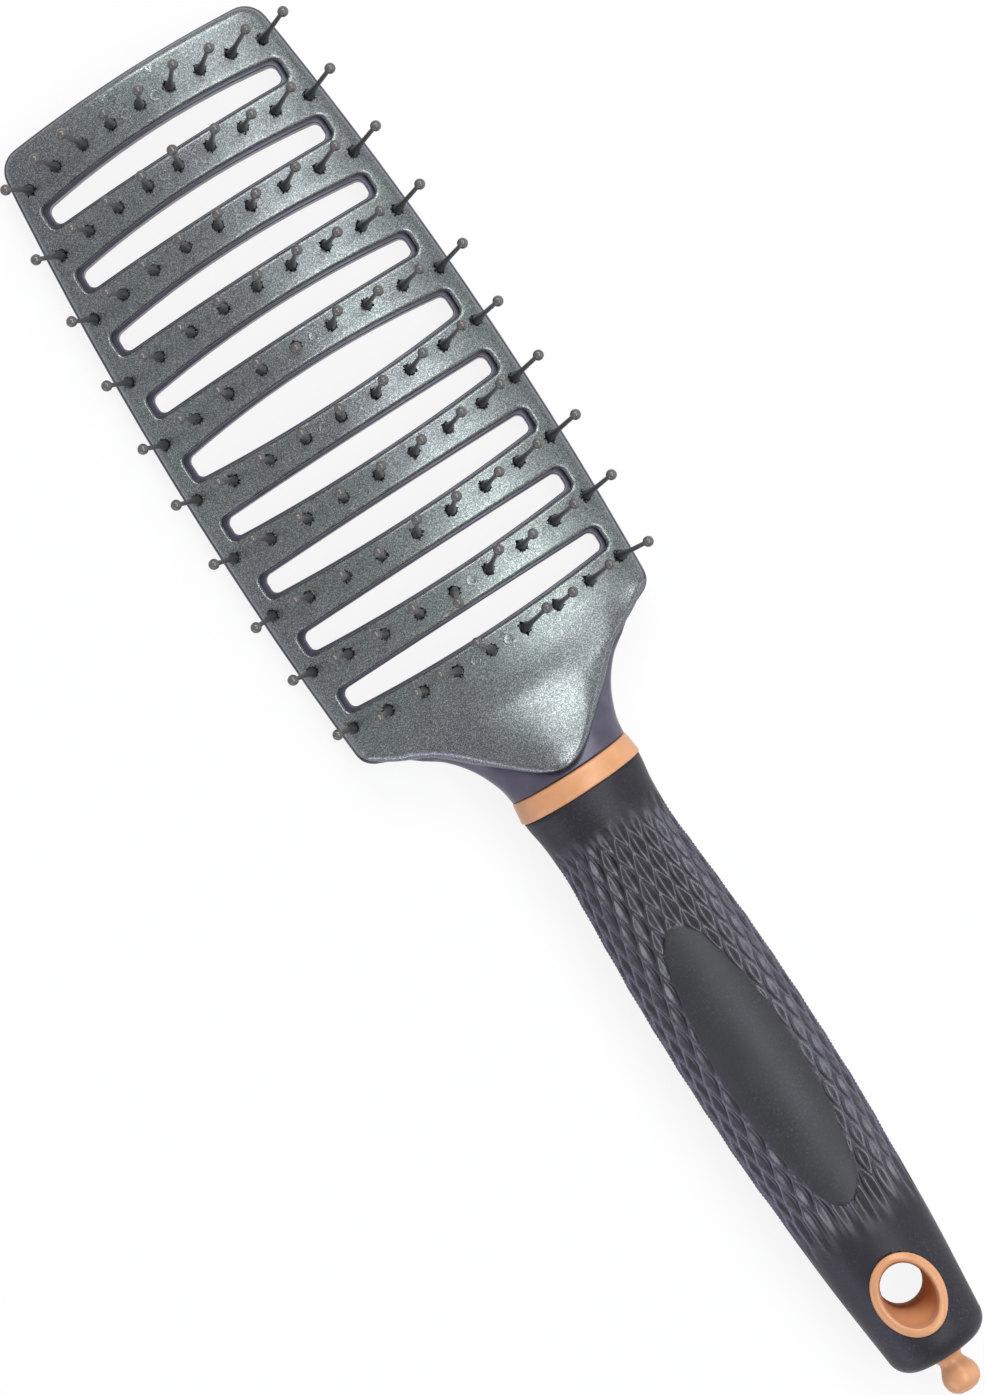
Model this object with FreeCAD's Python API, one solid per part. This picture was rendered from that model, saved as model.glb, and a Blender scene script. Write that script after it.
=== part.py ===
import FreeCAD, Part
import math
import os

# Vent hair brush lying on its back with the pins up. Millimetres.
# Frame: X across the brush, +Y from the middle of its length towards the head's tip, +Z up.
# The origin lies on the table below the middle of the whole length.

V = FreeCAD.Vector

# Whole brush
HEAD_TIP_Y = 125.0
TAIL_TIP_Y = -125.0
REST_Z = 0.0

# Head outline
HEAD_HALF_WIDTH = 28.75
HEAD_WIDEST_Y = 51.0
HEAD_SIDE_RADIUS = 615.0
HEAD_TIP_BOW = 0.6
HEAD_TIP_CORNER = 4.0
HEAD_FOOT_Y = 11.2
HEAD_FOOT_CORNER = 2.6

# The head's foot narrows inside the neck: half width and Y
HEAD_ROOT = ((19.9, 7.6), (6.7, 1.2))

# Flats that stand in for the round forms
ARCH_FLATS = 12
OVAL_SIDES = 28
NECK_SIDES = 24
TANG_SIDES = 16
KNOB_SIDES = 18
EYELET_SIDES = 24
SLOT_BOW_STEPS = 6
SLOT_CORNER_STEPS = 2

# Head section: an arched face over a hollow back between two side rails
FACE_TOP_Z = 12.4
FACE_RADIUS = 68.0
PLATE_THICKNESS = 1.6
PLATE_INSET = 0.4
RIB_DEPTH = 3.3
RAIL_WIDTH = 4.6
SEAT_GAP = 0.05

# Rows of pins, counted from the tip; the first five bow to the tip, the others to the tail
ROWS_PER_GROUP = 5
PINS_PER_ROW = 9
TIP_ROW_Y = 118.95
TIP_ROW_PITCH = 11.475
TIP_ROW_BOW = 1.3
TAIL_ROW_Y = 59.85
TAIL_ROW_PITCH = 11.075
TAIL_ROW_BOW = -1.65
ROW_MARGIN = 2.05
ROW_TAPER = 1.2

# Vent slots between the rows
SLOT_END_HEIGHT = 4.1
SLOT_BOW = 1.25
SLOT_RAIL = 3.2
SLOT_CORNER = 1.2
SLOT_LEDGE = 0.4
SLOT_END_LEDGE = 1.0
TIP_SLOT_OFFSET = 2.55
TAIL_SLOT_OFFSET = 3.05
MIDDLE_SLOT_OFFSET = 4.3
MIDDLE_SLOT_BOW = 1.5

# Pins: a tapered root seated in a square socket of the plate, a slim shaft and a ball tip
PIN_SIDES = 5
PIN_LENGTH = 13.0
PIN_ROOT_RADIUS = 0.85
PIN_FLARE_HEIGHT = 3.2
PIN_SHAFT_RADIUS = 0.42
PIN_NECK_RADIUS = 0.36
PIN_BALL_RADIUS = 0.92
PIN_SEAT_CLEARANCE = 0.05
# Rings of the ball: height above its centre and radius, as shares of its radius
PIN_BALL_RINGS = ((-0.4, 0.93), (0.4, 0.93), (1.0, 0.4))
PIN_BALL_JOIN = -0.9
PIN_SWEEP = 0.95
PIN_FAN = 1.02
PIN_FORWARD = 0.3
SOCKET_FLOOR = 0.3

# Pins that stand bent: row and pin, counted from 1, with the extra travel of the tip in X and Y
BENT_PINS = {
    (1, 2): (0.0, 0.8), (1, 3): (-0.8, 1.3), (1, 6): (0.3, 0.6),
    (2, 1): (-0.6, -0.3), (2, 5): (-0.6, 0.7), (2, 7): (-0.8, -0.9),
    (3, 6): (-0.4, -0.6), (4, 7): (-0.5, -0.8), (4, 8): (-0.3, -1.1),
    (5, 5): (-1.2, -1.6), (5, 7): (-0.4, -0.5), (5, 8): (-0.5, -0.6),
    (6, 5): (-0.6, 0.0), (6, 9): (-0.7, -0.5), (7, 2): (-0.3, 0.7),
    (8, 1): (0.0, -1.0), (8, 3): (0.7, -0.2), (8, 5): (0.2, 1.2), (8, 6): (-0.2, 0.7),
    (9, 4): (-0.4, 0.7), (9, 5): (-1.5, -2.5), (9, 6): (1.0, 1.2), (9, 7): (-0.7, 0.0),
    (10, 1): (0.7, 0.0), (10, 2): (0.3, -0.7), (10, 4): (-2.8, 0.8), (10, 5): (-2.5, 2.0),
    (10, 6): (2.7, 0.5), (10, 9): (-0.2, -1.0),
}

# Pegs of the frame that hold the face plate: row, and half pitches from the middle pin
PEGS = ((1, -1), (1, 1), (2, -1), (5, 1), (6, -1), (9, 1), (10, -1), (10, 1))
PEG_SIDES = 8
PEG_RADIUS = 0.95
PEG_CLEARANCE = 0.05

# Neck from the head's foot to the ring: Y, half width, lowest and highest Z
NECK_SECTIONS = (
    (12.0, 21.5, 2.5, 9.6),
    (7.6, 19.9, 2.0, 11.1),
    (4.4, 16.0, 1.8, 12.4),
    (1.2, 13.4, 1.6, 13.9),
    (-2.0, 11.75, 1.4, 15.6),
    (-5.2, 10.75, 1.3, 17.4),
    (-8.4, 10.45, 1.3, 18.9),
    (-12.0, 10.4, 1.3, 19.2),
)

# The frame's two solids meet this far ahead of the neck's first section
HEAD_SPLIT_AHEAD = 0.5

# Tongue of the face plate on the neck: half width at each Y, down to its rounded end
TONGUE = ((22.0, 8.6), (17.4, 6.3), (12.8, 2.2), (8.5, -1.5), (4.4, -4.9))
TONGUE_END_Y = -6.5

# Handle
HANDLE_AXIS_Z = 10.2
HANDLE_FLATNESS = 0.88
HANDLE_SECTIONS = (
    (-2.0, 11.3),
    (-11.5, 10.75),
    (-15.5, 10.2),
    (-19.6, 10.0),
    (-34.0, 10.75),
    (-46.0, 11.35),
    (-60.0, 11.58),
    (-73.0, 11.45),
    (-86.0, 10.8),
    (-99.0, 10.0),
    (-114.2, 8.6),
)
HANDLE_END_ROUND = 3.8
HANDLE_END_STEPS = 3

# Ring between neck and grip, its planes leaning a little towards the tail at the front
RING_Y = -8.7
RING_LENGTH = 3.7
RING_LEAN_DEG = 4.5
RING_FRONT_HALF_WIDTH = 10.7
RING_REAR_HALF_WIDTH = 11.15
RING_FLATNESS = 0.87

# Tang of the frame inside the grip, which ends short of the eyelet
TANG_RADIUS = 6.4
TANG_START_Y = -5.2
TANG_END_CHAMFER = 1.2

# Hanging eyelet
EYELET_Y = -105.8
EYELET_RIM_X = 5.9
EYELET_RIM_Y = 7.25
EYELET_RIM_Z = 16.6
EYELET_PROUD = 0.35
EYELET_WALL = 2.5
EYELET_BARREL_X = 4.75
EYELET_BARREL_Y = 6.45
EYELET_MOUTH_X = 4.15
EYELET_MOUTH_Y = 5.95
EYELET_POCKET_Z = 15.0
EYELET_BORE_RADIUS = 3.75
EYELET_BORE_Y = -105.4
EYELET_BORE_TOP_Z = 10.2

# Tail knob: radius at each distance behind the end of the grip
KNOB_BASE_Y = -118.05
KNOB_STEM_RADIUS = 1.5
KNOB_STEM_LENGTH = 4.8
KNOB_PROFILE = (
    (3.0, 0.0), (2.4, 0.5), (2.05, 1.3), (2.35, 2.3), (2.9, 3.4), (3.15, 4.5), (2.95, 5.6), (1.9, 6.95)
)

# Height well above the brush, for tools that cut right through
CLEAR_Z = 60.0

# Points nearer than this count as one where two curved outlines meet
FUSE_TOLERANCE = 3e-5


def head_half_width(y, inset=0.0):
    """Half width of the head's side arc at a given Y."""
    radius = HEAD_SIDE_RADIUS
    return HEAD_HALF_WIDTH - inset - radius + math.sqrt(radius ** 2 - (y - HEAD_WIDEST_Y) ** 2)


def face_drop(x):
    """How far the arched face lies below its crown at X."""
    return FACE_RADIUS - math.sqrt(FACE_RADIUS ** 2 - x ** 2)


def line(a, b):
    return Part.makeLine(a, b)


def arc(a, middle, b):
    return Part.Arc(a, middle, b).toShape()


def prism(wire):
    """Upright solid over a closed flat outline, well past the brush above and below."""
    solid = Part.Face(wire).extrude(V(0, 0, CLEAR_Z))
    solid.translate(V(0, 0, -CLEAR_Z / 2))
    return solid


def round_uprights(solid, radius, keep):
    """Round the upright edges that the test picks by their place."""
    chosen = []
    for edge in solid.Edges:
        ends = [v.Point for v in edge.Vertexes]
        if len(ends) != 2 or abs(ends[0].x - ends[1].x) + abs(ends[0].y - ends[1].y) > 1e-6:
            continue
        if keep(ends[0]):
            chosen.append(edge)
    return solid.makeFillet(radius, chosen)


def upright_oval(y, half_width, half_height, centre_z, sides):
    """Corners of an oval section across the brush."""
    corners = []
    for i in range(sides):
        turn = 2 * math.pi * i / sides
        corners.append(V(half_width * math.cos(turn), y, centre_z + half_height * math.sin(turn)))
    return corners


def level_oval(half_x, half_y, centre_y, z):
    """Corners of a level oval of the eyelet."""
    corners = []
    for i in range(EYELET_SIDES):
        turn = 2 * math.pi * i / EYELET_SIDES
        corners.append(V(half_x * math.cos(turn), centre_y + half_y * math.sin(turn), z))
    return corners


def tilted_circle(centre, direction, radius, sides):
    """Corners of a regular polygon square to a direction."""
    across = direction.cross(V(0, 1, 0)).normalize()
    along = across.cross(direction).normalize()
    corners = []
    for i in range(sides):
        turn = 2 * math.pi * (i + 0.5) / sides
        corners.append(centre + across * (radius * math.cos(turn)) - along * (radius * math.sin(turn)))
    return corners


def flat_faces(a, b, c, d):
    """One face through four corners, or two where they don't lie in one plane."""
    normal = (b - a).cross(c - a)
    if normal.Length > 0 and abs(normal.normalize().dot(d - a)) < 1e-7:
        return [Part.Face(Part.makePolygon([a, b, c, d, a]))]
    return [Part.Face(Part.makePolygon([a, b, c, a])), Part.Face(Part.makePolygon([a, c, d, a]))]


def loft(rings):
    """Solid of flats through rings of corners, all with the same number of corners."""
    faces = [Part.Face(Part.makePolygon(ring + [ring[0]])) for ring in (rings[0], rings[-1])]
    count = len(rings[0])
    for low, high in zip(rings, rings[1:]):
        for i in range(count):
            j = (i + 1) % count
            faces += flat_faces(low[i], low[j], high[j], high[i])
    shell = Part.Shell(faces)
    solid = Part.Solid(shell)
    if solid.Volume < 0:
        solid.reverse()
    return solid


def row_is_tipward(row):
    return row <= ROWS_PER_GROUP


def row_centre_y(row):
    if row_is_tipward(row):
        return TIP_ROW_Y - TIP_ROW_PITCH * (row - 1)
    return TAIL_ROW_Y - TAIL_ROW_PITCH * (row - ROWS_PER_GROUP - 1)


def row_half_length(row):
    """Half length of a row, which keeps inside the head's side and narrows a little faster than it."""
    narrowing = HEAD_HALF_WIDTH - head_half_width(row_centre_y(row))
    return HEAD_HALF_WIDTH - ROW_MARGIN - ROW_TAPER * narrowing


def row_point(row, place):
    """Point on the face for a place along the row, from -1 at its left end to 1 at its right end."""
    bow = TIP_ROW_BOW if row_is_tipward(row) else TAIL_ROW_BOW
    x = row_half_length(row) * place
    return V(x, row_centre_y(row) - bow * place ** 2, FACE_TOP_Z - face_drop(x))


def pin_direction(row, pin):
    """Unit direction of a pin: the fan of its row, with the bend of that one pin."""
    bend_x, bend_y = BENT_PINS.get((row, pin), (0.0, 0.0))
    middle = (PINS_PER_ROW + 1) / 2
    lean_x = PIN_SWEEP + PIN_FAN * (pin - middle) + bend_x
    lean_y = PIN_FORWARD + bend_y
    rise = math.sqrt(PIN_LENGTH ** 2 - lean_x ** 2 - lean_y ** 2)
    return V(lean_x, lean_y, rise).normalize()


def pin_place(row, pin):
    middle = (PINS_PER_ROW + 1) / 2
    return row_point(row, (pin - middle) / (middle - 1))


def pin_socket_sizes(row, pin):
    """Middle, half sizes and floor height of a pin's square socket; the floor clears the arched underside."""
    foot = pin_place(row, pin)
    way = pin_direction(row, pin)
    middle = foot - way * (PLATE_THICKNESS / 2)
    half_x = PIN_ROOT_RADIUS + PIN_SEAT_CLEARANCE + abs(way.x) * PLATE_THICKNESS / 2
    half_y = PIN_ROOT_RADIUS + PIN_SEAT_CLEARANCE + abs(way.y) * PLATE_THICKNESS / 2
    inner_x = max(abs(middle.x) - half_x, 0.0)
    floor_z = FACE_TOP_Z - face_drop(inner_x) - PLATE_THICKNESS + SOCKET_FLOOR
    return middle, half_x, half_y, floor_z


def pin_solid(row, pin):
    foot = pin_place(row, pin)
    way = pin_direction(row, pin)
    floor_z = pin_socket_sizes(row, pin)[3]
    tilt = math.sqrt(1 - way.z ** 2)
    root = (foot.z - floor_z - PIN_SEAT_CLEARANCE - PIN_ROOT_RADIUS * tilt) / way.z
    ball = PIN_LENGTH - PIN_BALL_RADIUS
    stations = [(-root, PIN_ROOT_RADIUS), (PIN_FLARE_HEIGHT, PIN_SHAFT_RADIUS)]
    stations.append((ball + PIN_BALL_JOIN * PIN_BALL_RADIUS, PIN_NECK_RADIUS))
    stations += [(ball + rise * PIN_BALL_RADIUS, share * PIN_BALL_RADIUS) for rise, share in PIN_BALL_RINGS]
    return loft([tilted_circle(foot + way * d, way, r, PIN_SIDES) for d, r in stations])


def pin_socket(row, pin):
    """Square blind socket that holds the leaning root of a pin."""
    middle, half_x, half_y, floor_z = pin_socket_sizes(row, pin)
    corner = V(middle.x - half_x, middle.y - half_y, floor_z)
    return Part.makeBox(2 * half_x, 2 * half_y, 2 * PLATE_THICKNESS, corner)


def peg_tool(row, side, grow, low, high):
    """Upright peg between two neighbouring pins, from low to high about the face."""
    middle = (PINS_PER_ROW + 1) / 2
    foot = row_point(row, 0.5 * side / (middle - 1))
    levels = [V(foot.x, foot.y, foot.z + level) for level in (low, high)]
    return loft([tilted_circle(level, V(0, 0, 1), PEG_RADIUS + grow, PEG_SIDES) for level in levels])


def slot_edge(half, level, bow, inward):
    """One long edge of a slot from its left end to its right end, with half of each round corner."""
    straight = half - SLOT_CORNER
    steps = SLOT_BOW_STEPS if bow else 1
    points = []
    for i in range(steps + 1):
        x = straight * (2 * i / steps - 1)
        points.append(V(x, level + bow * (1 - (x / half) ** 2), 0))
    start = points[-1].y
    corner = []
    for i in range(1, SLOT_CORNER_STEPS + 1):
        turn = math.pi / 2 * i / SLOT_CORNER_STEPS
        rise = inward * SLOT_CORNER * (1 - math.cos(turn))
        corner.append(V(straight + SLOT_CORNER * math.sin(turn), start + rise, 0))
    return [V(-p.x, p.y, 0) for p in reversed(corner)] + points + corner


def slot_prism(slot, ledge, end_ledge):
    """Tool for a vent slot between rows slot and slot + 1: flat on one side, bowed on the other."""
    if slot < ROWS_PER_GROUP:
        low = row_centre_y(slot + 1) + TIP_SLOT_OFFSET
        high = low + SLOT_END_HEIGHT
        low_bow, high_bow = 0.0, SLOT_BOW
    elif slot == ROWS_PER_GROUP:
        high = row_centre_y(slot) - MIDDLE_SLOT_OFFSET - SLOT_LEDGE
        low = row_centre_y(slot + 1) + MIDDLE_SLOT_OFFSET - SLOT_LEDGE
        low_bow, high_bow = MIDDLE_SLOT_BOW, MIDDLE_SLOT_BOW
    else:
        high = row_centre_y(slot) - TAIL_SLOT_OFFSET
        low = high - SLOT_END_HEIGHT
        low_bow, high_bow = SLOT_BOW, 0.0
    low, high = low + ledge, high - ledge
    half = head_half_width((low + high) / 2) - SLOT_RAIL - end_ledge
    outline = slot_edge(half, low, -low_bow, 1) + slot_edge(half, high, high_bow, -1)[::-1]
    return prism(Part.makePolygon(outline + [outline[0]]))


def side_edges(inset, foot_y):
    """Tip and side edges of the head's outline, from its left foot round to its right foot."""
    tip_y = HEAD_TIP_Y - inset
    shoulder_y = tip_y - HEAD_TIP_BOW
    shoulder = head_half_width(shoulder_y, inset)
    foot = head_half_width(foot_y, inset)
    widest = HEAD_HALF_WIDTH - inset
    left = arc(V(-foot, foot_y, 0), V(-widest, HEAD_WIDEST_Y, 0), V(-shoulder, shoulder_y, 0))
    tip = arc(V(-shoulder, shoulder_y, 0), V(0, tip_y, 0), V(shoulder, shoulder_y, 0))
    right = arc(V(shoulder, shoulder_y, 0), V(widest, HEAD_WIDEST_Y, 0), V(foot, foot_y, 0))
    return [left, tip, right]


def head_prism():
    """Outline of the head's frame; its foot runs down inside the neck."""
    foot_y = HEAD_FOOT_Y
    edges = side_edges(0.0, foot_y)
    path = [V(head_half_width(foot_y), foot_y, 0)] + [V(x, y, 0) for x, y in HEAD_ROOT]
    path += [V(-p.x, p.y, 0) for p in reversed(path)]
    edges += [line(a, b) for a, b in zip(path, path[1:])]
    solid = prism(Part.Wire(edges))
    tip_y = HEAD_TIP_Y - 2 * HEAD_TIP_BOW
    solid = round_uprights(solid, HEAD_TIP_CORNER, lambda p: p.y > tip_y)
    return round_uprights(solid, HEAD_FOOT_CORNER, lambda p: abs(p.y - foot_y) < 1e-3)


def plate_prism():
    """Outline of the face plate, with its tongue over the neck."""
    foot_y = HEAD_FOOT_Y + 2 * PLATE_INSET
    foot = head_half_width(foot_y, PLATE_INSET)
    edges = side_edges(PLATE_INSET, foot_y)
    right = [V(x, y, 0) for x, y in TONGUE]
    points = [V(foot, foot_y, 0)] + right + [V(0, TONGUE_END_Y, 0)]
    points += [V(-p.x, p.y, 0) for p in reversed(right)] + [V(-foot, foot_y, 0)]
    curve = Part.BSplineCurve()
    curve.interpolate(points)
    edges.append(curve.toShape())
    solid = prism(Part.Wire(edges))
    tip_y = HEAD_TIP_Y - PLATE_INSET - 2 * HEAD_TIP_BOW
    solid = round_uprights(solid, HEAD_TIP_CORNER - PLATE_INSET, lambda p: p.y > tip_y)
    return round_uprights(solid, HEAD_FOOT_CORNER, lambda p: abs(p.y - foot_y) < 1e-3)


def neck_solid():
    rings = []
    for y, half_width, low, high in NECK_SECTIONS:
        rings.append(upright_oval(y, half_width, (high - low) / 2, (high + low) / 2, NECK_SIDES))
    return loft(rings)


def handle_solid(grow=0.0):
    """Outer form of the handle, thicker by a given amount, with its rounded end."""
    sections = list(HANDLE_SECTIONS)
    start_y, start_half = sections[-1]
    for step in range(1, HANDLE_END_STEPS + 1):
        turn = math.pi / 2 * step / HANDLE_END_STEPS
        y = start_y - HANDLE_END_ROUND * math.sin(turn)
        sections.append((y, start_half - HANDLE_END_ROUND * (1 - math.cos(turn))))
    rings = []
    for y, half_width in sections:
        half = half_width + grow
        rings.append(upright_oval(y, half, HANDLE_FLATNESS * half, HANDLE_AXIS_Z, OVAL_SIDES))
    return loft(rings)


def behind(y, gap=0.0):
    """Everything on the tail side of a leaning plane that crosses the axis at Y."""
    size = 4 * HEAD_TIP_Y
    block = Part.makeBox(size, size, size, V(-size / 2, -size, -size / 2))
    block.rotate(V(0, 0, 0), V(1, 0, 0), RING_LEAN_DEG)
    block.translate(V(0, y - gap, HANDLE_AXIS_Z))
    return block


def axis_loft(stations, sides):
    """Solid on the handle's axis through round sections, each given by its Y and radius."""
    return loft([upright_oval(y, radius, radius, HANDLE_AXIS_Z, sides) for y, radius in stations])


def tang_solid(grow, start_y):
    """Tang inside the grip, thicker all round by a given clearance, from a given Y back to its end."""
    end_y = EYELET_Y + EYELET_RIM_Y + EYELET_WALL - grow
    radius = TANG_RADIUS + grow
    stations = [(start_y, radius), (end_y + TANG_END_CHAMFER, radius), (end_y, radius - TANG_END_CHAMFER)]
    return axis_loft(stations, TANG_SIDES)


def stem_hole():
    """Hole for the knob's stem in the grip's end."""
    radius = KNOB_STEM_RADIUS + SEAT_GAP
    top_y = KNOB_BASE_Y + KNOB_STEM_LENGTH + SEAT_GAP
    return axis_loft([(top_y, radius), (TAIL_TIP_Y, radius)], KNOB_SIDES)


def arch(crown_z, half):
    """Points of the arch from left to right at the head's tip."""
    points = []
    for i in range(ARCH_FLATS + 1):
        x = half * (2 * i / ARCH_FLATS - 1)
        points.append(V(x, HEAD_TIP_Y, crown_z - face_drop(x)))
    return points


def head_shell():
    """Arched ribs and deep side rails in one section, before the vents are cut."""
    top = FACE_TOP_Z - PLATE_THICKNESS - SEAT_GAP
    back = top - RIB_DEPTH
    y = HEAD_TIP_Y
    outer = HEAD_HALF_WIDTH
    inner = outer - RAIL_WIDTH
    outline = [V(outer, y, REST_Z), V(inner, y, REST_Z)]
    outline += reversed(arch(back, inner))
    outline += [V(-inner, y, REST_Z), V(-outer, y, REST_Z)]
    outline += arch(top, outer)
    face = Part.Face(Part.makePolygon(outline + [outline[0]]))
    return face.extrude(V(0, -2 * HEAD_TIP_Y, 0))


def frame_body():
    """Head and neck in one piece, without vents, pegs or tang."""
    head = head_shell().common(head_prism())
    neck = neck_solid().cut(behind(RING_Y + RING_LENGTH / 2, -SEAT_GAP))
    return head.fuse(neck).removeSplitter()


def eyelet_oval(half_x, half_y, low_z, high_z):
    """Upright oval tool about the eyelet's centre."""
    return loft([level_oval(half_x, half_y, EYELET_Y, z) for z in (low_z, high_z)])


def eyelet_parts(grow):
    """Rim and barrel of the eyelet before the hole, thicker all round by a given clearance."""
    rim = eyelet_oval(EYELET_RIM_X + grow, EYELET_RIM_Y + grow, EYELET_RIM_Z - grow, CLEAR_Z)
    barrel = eyelet_oval(EYELET_BARREL_X + grow, EYELET_BARREL_Y + grow, -CLEAR_Z, CLEAR_Z)
    return rim.fuse(barrel)


def split_across(solid, y):
    """The same piece as two solids that share a face across the brush at Y."""
    size = 4 * HEAD_TIP_Y
    ahead = Part.makeBox(size, size, size, V(-size / 2, y, -size / 2))
    return Part.makeCompound(solid.common(ahead).Solids + solid.cut(ahead).Solids)


def make_back_frame(body):
    """Moulded frame: side rails, ribs, neck, pegs for the plate and the tang inside the grip."""
    frame = body.cut([slot_prism(s, SLOT_LEDGE, SLOT_END_LEDGE) for s in range(1, 2 * ROWS_PER_GROUP)])
    plate_top = body.copy()
    plate_top.translate(V(0, 0, PLATE_THICKNESS + SEAT_GAP))
    sunk = -PLATE_THICKNESS - RIB_DEPTH / 2
    pegs = [peg_tool(row, side, 0.0, sunk, PLATE_THICKNESS).common(plate_top) for row, side in PEGS]
    frame = frame.fuse(pegs + [tang_solid(0.0, TANG_START_Y)])
    return split_across(frame, NECK_SECTIONS[0][0] + HEAD_SPLIT_AHEAD)


def make_front_plate(body):
    """Face plate that follows the frame's top, with vents, pin sockets and peg holes."""
    upper = body.copy()
    upper.translate(V(0, 0, PLATE_THICKNESS + SEAT_GAP))
    lower = body.copy()
    lower.translate(V(0, 0, SEAT_GAP))
    plate = upper.common(plate_prism(), FUSE_TOLERANCE).cut(lower)
    rows = range(1, 2 * ROWS_PER_GROUP + 1)
    tools = [slot_prism(s, 0.0, 0.0) for s in range(1, 2 * ROWS_PER_GROUP)]
    tools += [pin_socket(row, pin) for row in rows for pin in range(1, PINS_PER_ROW + 1)]
    tools += [peg_tool(row, side, PEG_CLEARANCE, -2 * PLATE_THICKNESS, PLATE_THICKNESS) for row, side in PEGS]
    plate = plate.cut(tools)
    return max(plate.Solids, key=lambda s: s.Volume)


def make_pin_row(row):
    return Part.makeCompound([pin_solid(row, pin) for pin in range(1, PINS_PER_ROW + 1)])


def make_ring():
    """Collar between neck and grip, a little wider towards the tail."""
    slope = (RING_REAR_HALF_WIDTH - RING_FRONT_HALF_WIDTH) / RING_LENGTH
    middle = (RING_FRONT_HALF_WIDTH + RING_REAR_HALF_WIDTH) / 2
    rings = []
    for along in (2 * RING_LENGTH, -2 * RING_LENGTH):
        half = middle - slope * along
        rings.append(upright_oval(RING_Y + along, half, RING_FLATNESS * half, HANDLE_AXIS_Z, OVAL_SIDES))
    body = loft(rings)
    body = body.common(behind(RING_Y + RING_LENGTH / 2)).cut(behind(RING_Y - RING_LENGTH / 2))
    return body.cut(tang_solid(SEAT_GAP, HEAD_TIP_Y))


def make_grip():
    """Soft sleeve of the handle with its rounded end."""
    grip = handle_solid().common(behind(RING_Y - RING_LENGTH / 2, SEAT_GAP))
    return grip.cut([tang_solid(SEAT_GAP, HEAD_TIP_Y), stem_hole(), eyelet_parts(SEAT_GAP)])


def make_eyelet():
    """Oval rim on a barrel through the handle, with a funnel down to a round bore."""
    body = eyelet_parts(0.0).common(handle_solid(EYELET_PROUD))
    pocket = eyelet_oval(EYELET_MOUTH_X, EYELET_MOUTH_Y, EYELET_POCKET_Z, CLEAR_Z)
    funnel = loft([
        level_oval(EYELET_BORE_RADIUS, EYELET_BORE_RADIUS, EYELET_BORE_Y, EYELET_BORE_TOP_Z),
        level_oval(EYELET_MOUTH_X, EYELET_MOUTH_Y, EYELET_Y, EYELET_POCKET_Z),
    ])
    drop = EYELET_BORE_TOP_Z + CLEAR_Z
    bore = Part.makeCylinder(EYELET_BORE_RADIUS, drop, V(0, EYELET_BORE_Y, -CLEAR_Z))
    return body.cut([pocket.fuse(funnel), bore])


def make_tail_knob():
    """Turned knob: stem, flared foot, waist and ball."""
    stations = [(KNOB_BASE_Y + KNOB_STEM_LENGTH, KNOB_STEM_RADIUS), (KNOB_BASE_Y, KNOB_STEM_RADIUS)]
    stations += [(KNOB_BASE_Y - back, radius) for radius, back in KNOB_PROFILE]
    return axis_loft(stations, KNOB_SIDES)


def save(name, shape):
    shape.exportStep(os.path.join("parts", name + ".step"))
    print(name, shape.isValid(), len(shape.Solids), round(shape.Volume, 1))


os.makedirs("parts", exist_ok=True)
body = frame_body()
save("back_frame", make_back_frame(body))
save("front_plate", make_front_plate(body))
for row in range(1, 2 * ROWS_PER_GROUP + 1):
    save("pins_row_%02d" % row, make_pin_row(row))
save("ring", make_ring())
save("grip", make_grip())
save("eyelet", make_eyelet())
save("tail_knob", make_tail_knob())
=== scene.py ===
import math
import random

import bmesh
import bpy
import numpy as np
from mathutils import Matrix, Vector
from mathutils.geometry import delaunay_2d_cdt


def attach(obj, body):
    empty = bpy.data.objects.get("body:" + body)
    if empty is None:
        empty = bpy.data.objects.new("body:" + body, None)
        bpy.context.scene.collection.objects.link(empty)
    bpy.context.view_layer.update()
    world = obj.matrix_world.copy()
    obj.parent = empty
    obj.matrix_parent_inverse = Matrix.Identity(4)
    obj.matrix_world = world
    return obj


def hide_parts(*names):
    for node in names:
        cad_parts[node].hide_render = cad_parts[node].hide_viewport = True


# Vent brush on a pale floor. Lengths in this file are in millimetres, and meshes are made in metres.
# X runs across the brush, +Y towards the head's tip, +Z up, and the pins point up.

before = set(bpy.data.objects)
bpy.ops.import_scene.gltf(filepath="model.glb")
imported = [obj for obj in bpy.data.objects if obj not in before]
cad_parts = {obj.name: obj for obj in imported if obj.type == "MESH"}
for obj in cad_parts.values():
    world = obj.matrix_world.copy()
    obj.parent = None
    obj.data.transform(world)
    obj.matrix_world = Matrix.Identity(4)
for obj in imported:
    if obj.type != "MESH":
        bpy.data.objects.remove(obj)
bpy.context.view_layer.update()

MM = 0.001
BODY = "root"

# Head outline and section
HEAD_TIP_Y = 125.0
HEAD_HALF_WIDTH = 28.75
HEAD_WIDEST_Y = 51.0
HEAD_SIDE_RADIUS = 615.0
HEAD_TIP_BOW = 0.6
HEAD_TIP_CORNER = 4.0
HEAD_FOOT_Y = 11.2
HEAD_FOOT_CORNER = 3.6
FACE_TOP_Z = 12.4
FACE_RADIUS = 68.0
PLATE_THICKNESS = 1.6
PLATE_INSET = 0.4
PLATE_ROUND = 1.2
PLATE_SLOT_ROUND = 0.75
FRAME_ROUND = 0.3
UNDER_ROUND = 0.1
RIB_DEPTH = 3.3
RAIL_WIDTH = 4.6
RAIL_EASE = 0.55
RAIL_DRAFT = 0.12
SEAT_GAP = 0.05
# Corners of the frame's outline from the foot into the neck
FRAME_FOOT = ((22.6, 9.1), (21.2, 8.35), (20.0, 7.45), (18.9, 6.55), (17.9, 5.95), (15.0, 4.6), (6.7, 1.2))

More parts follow.
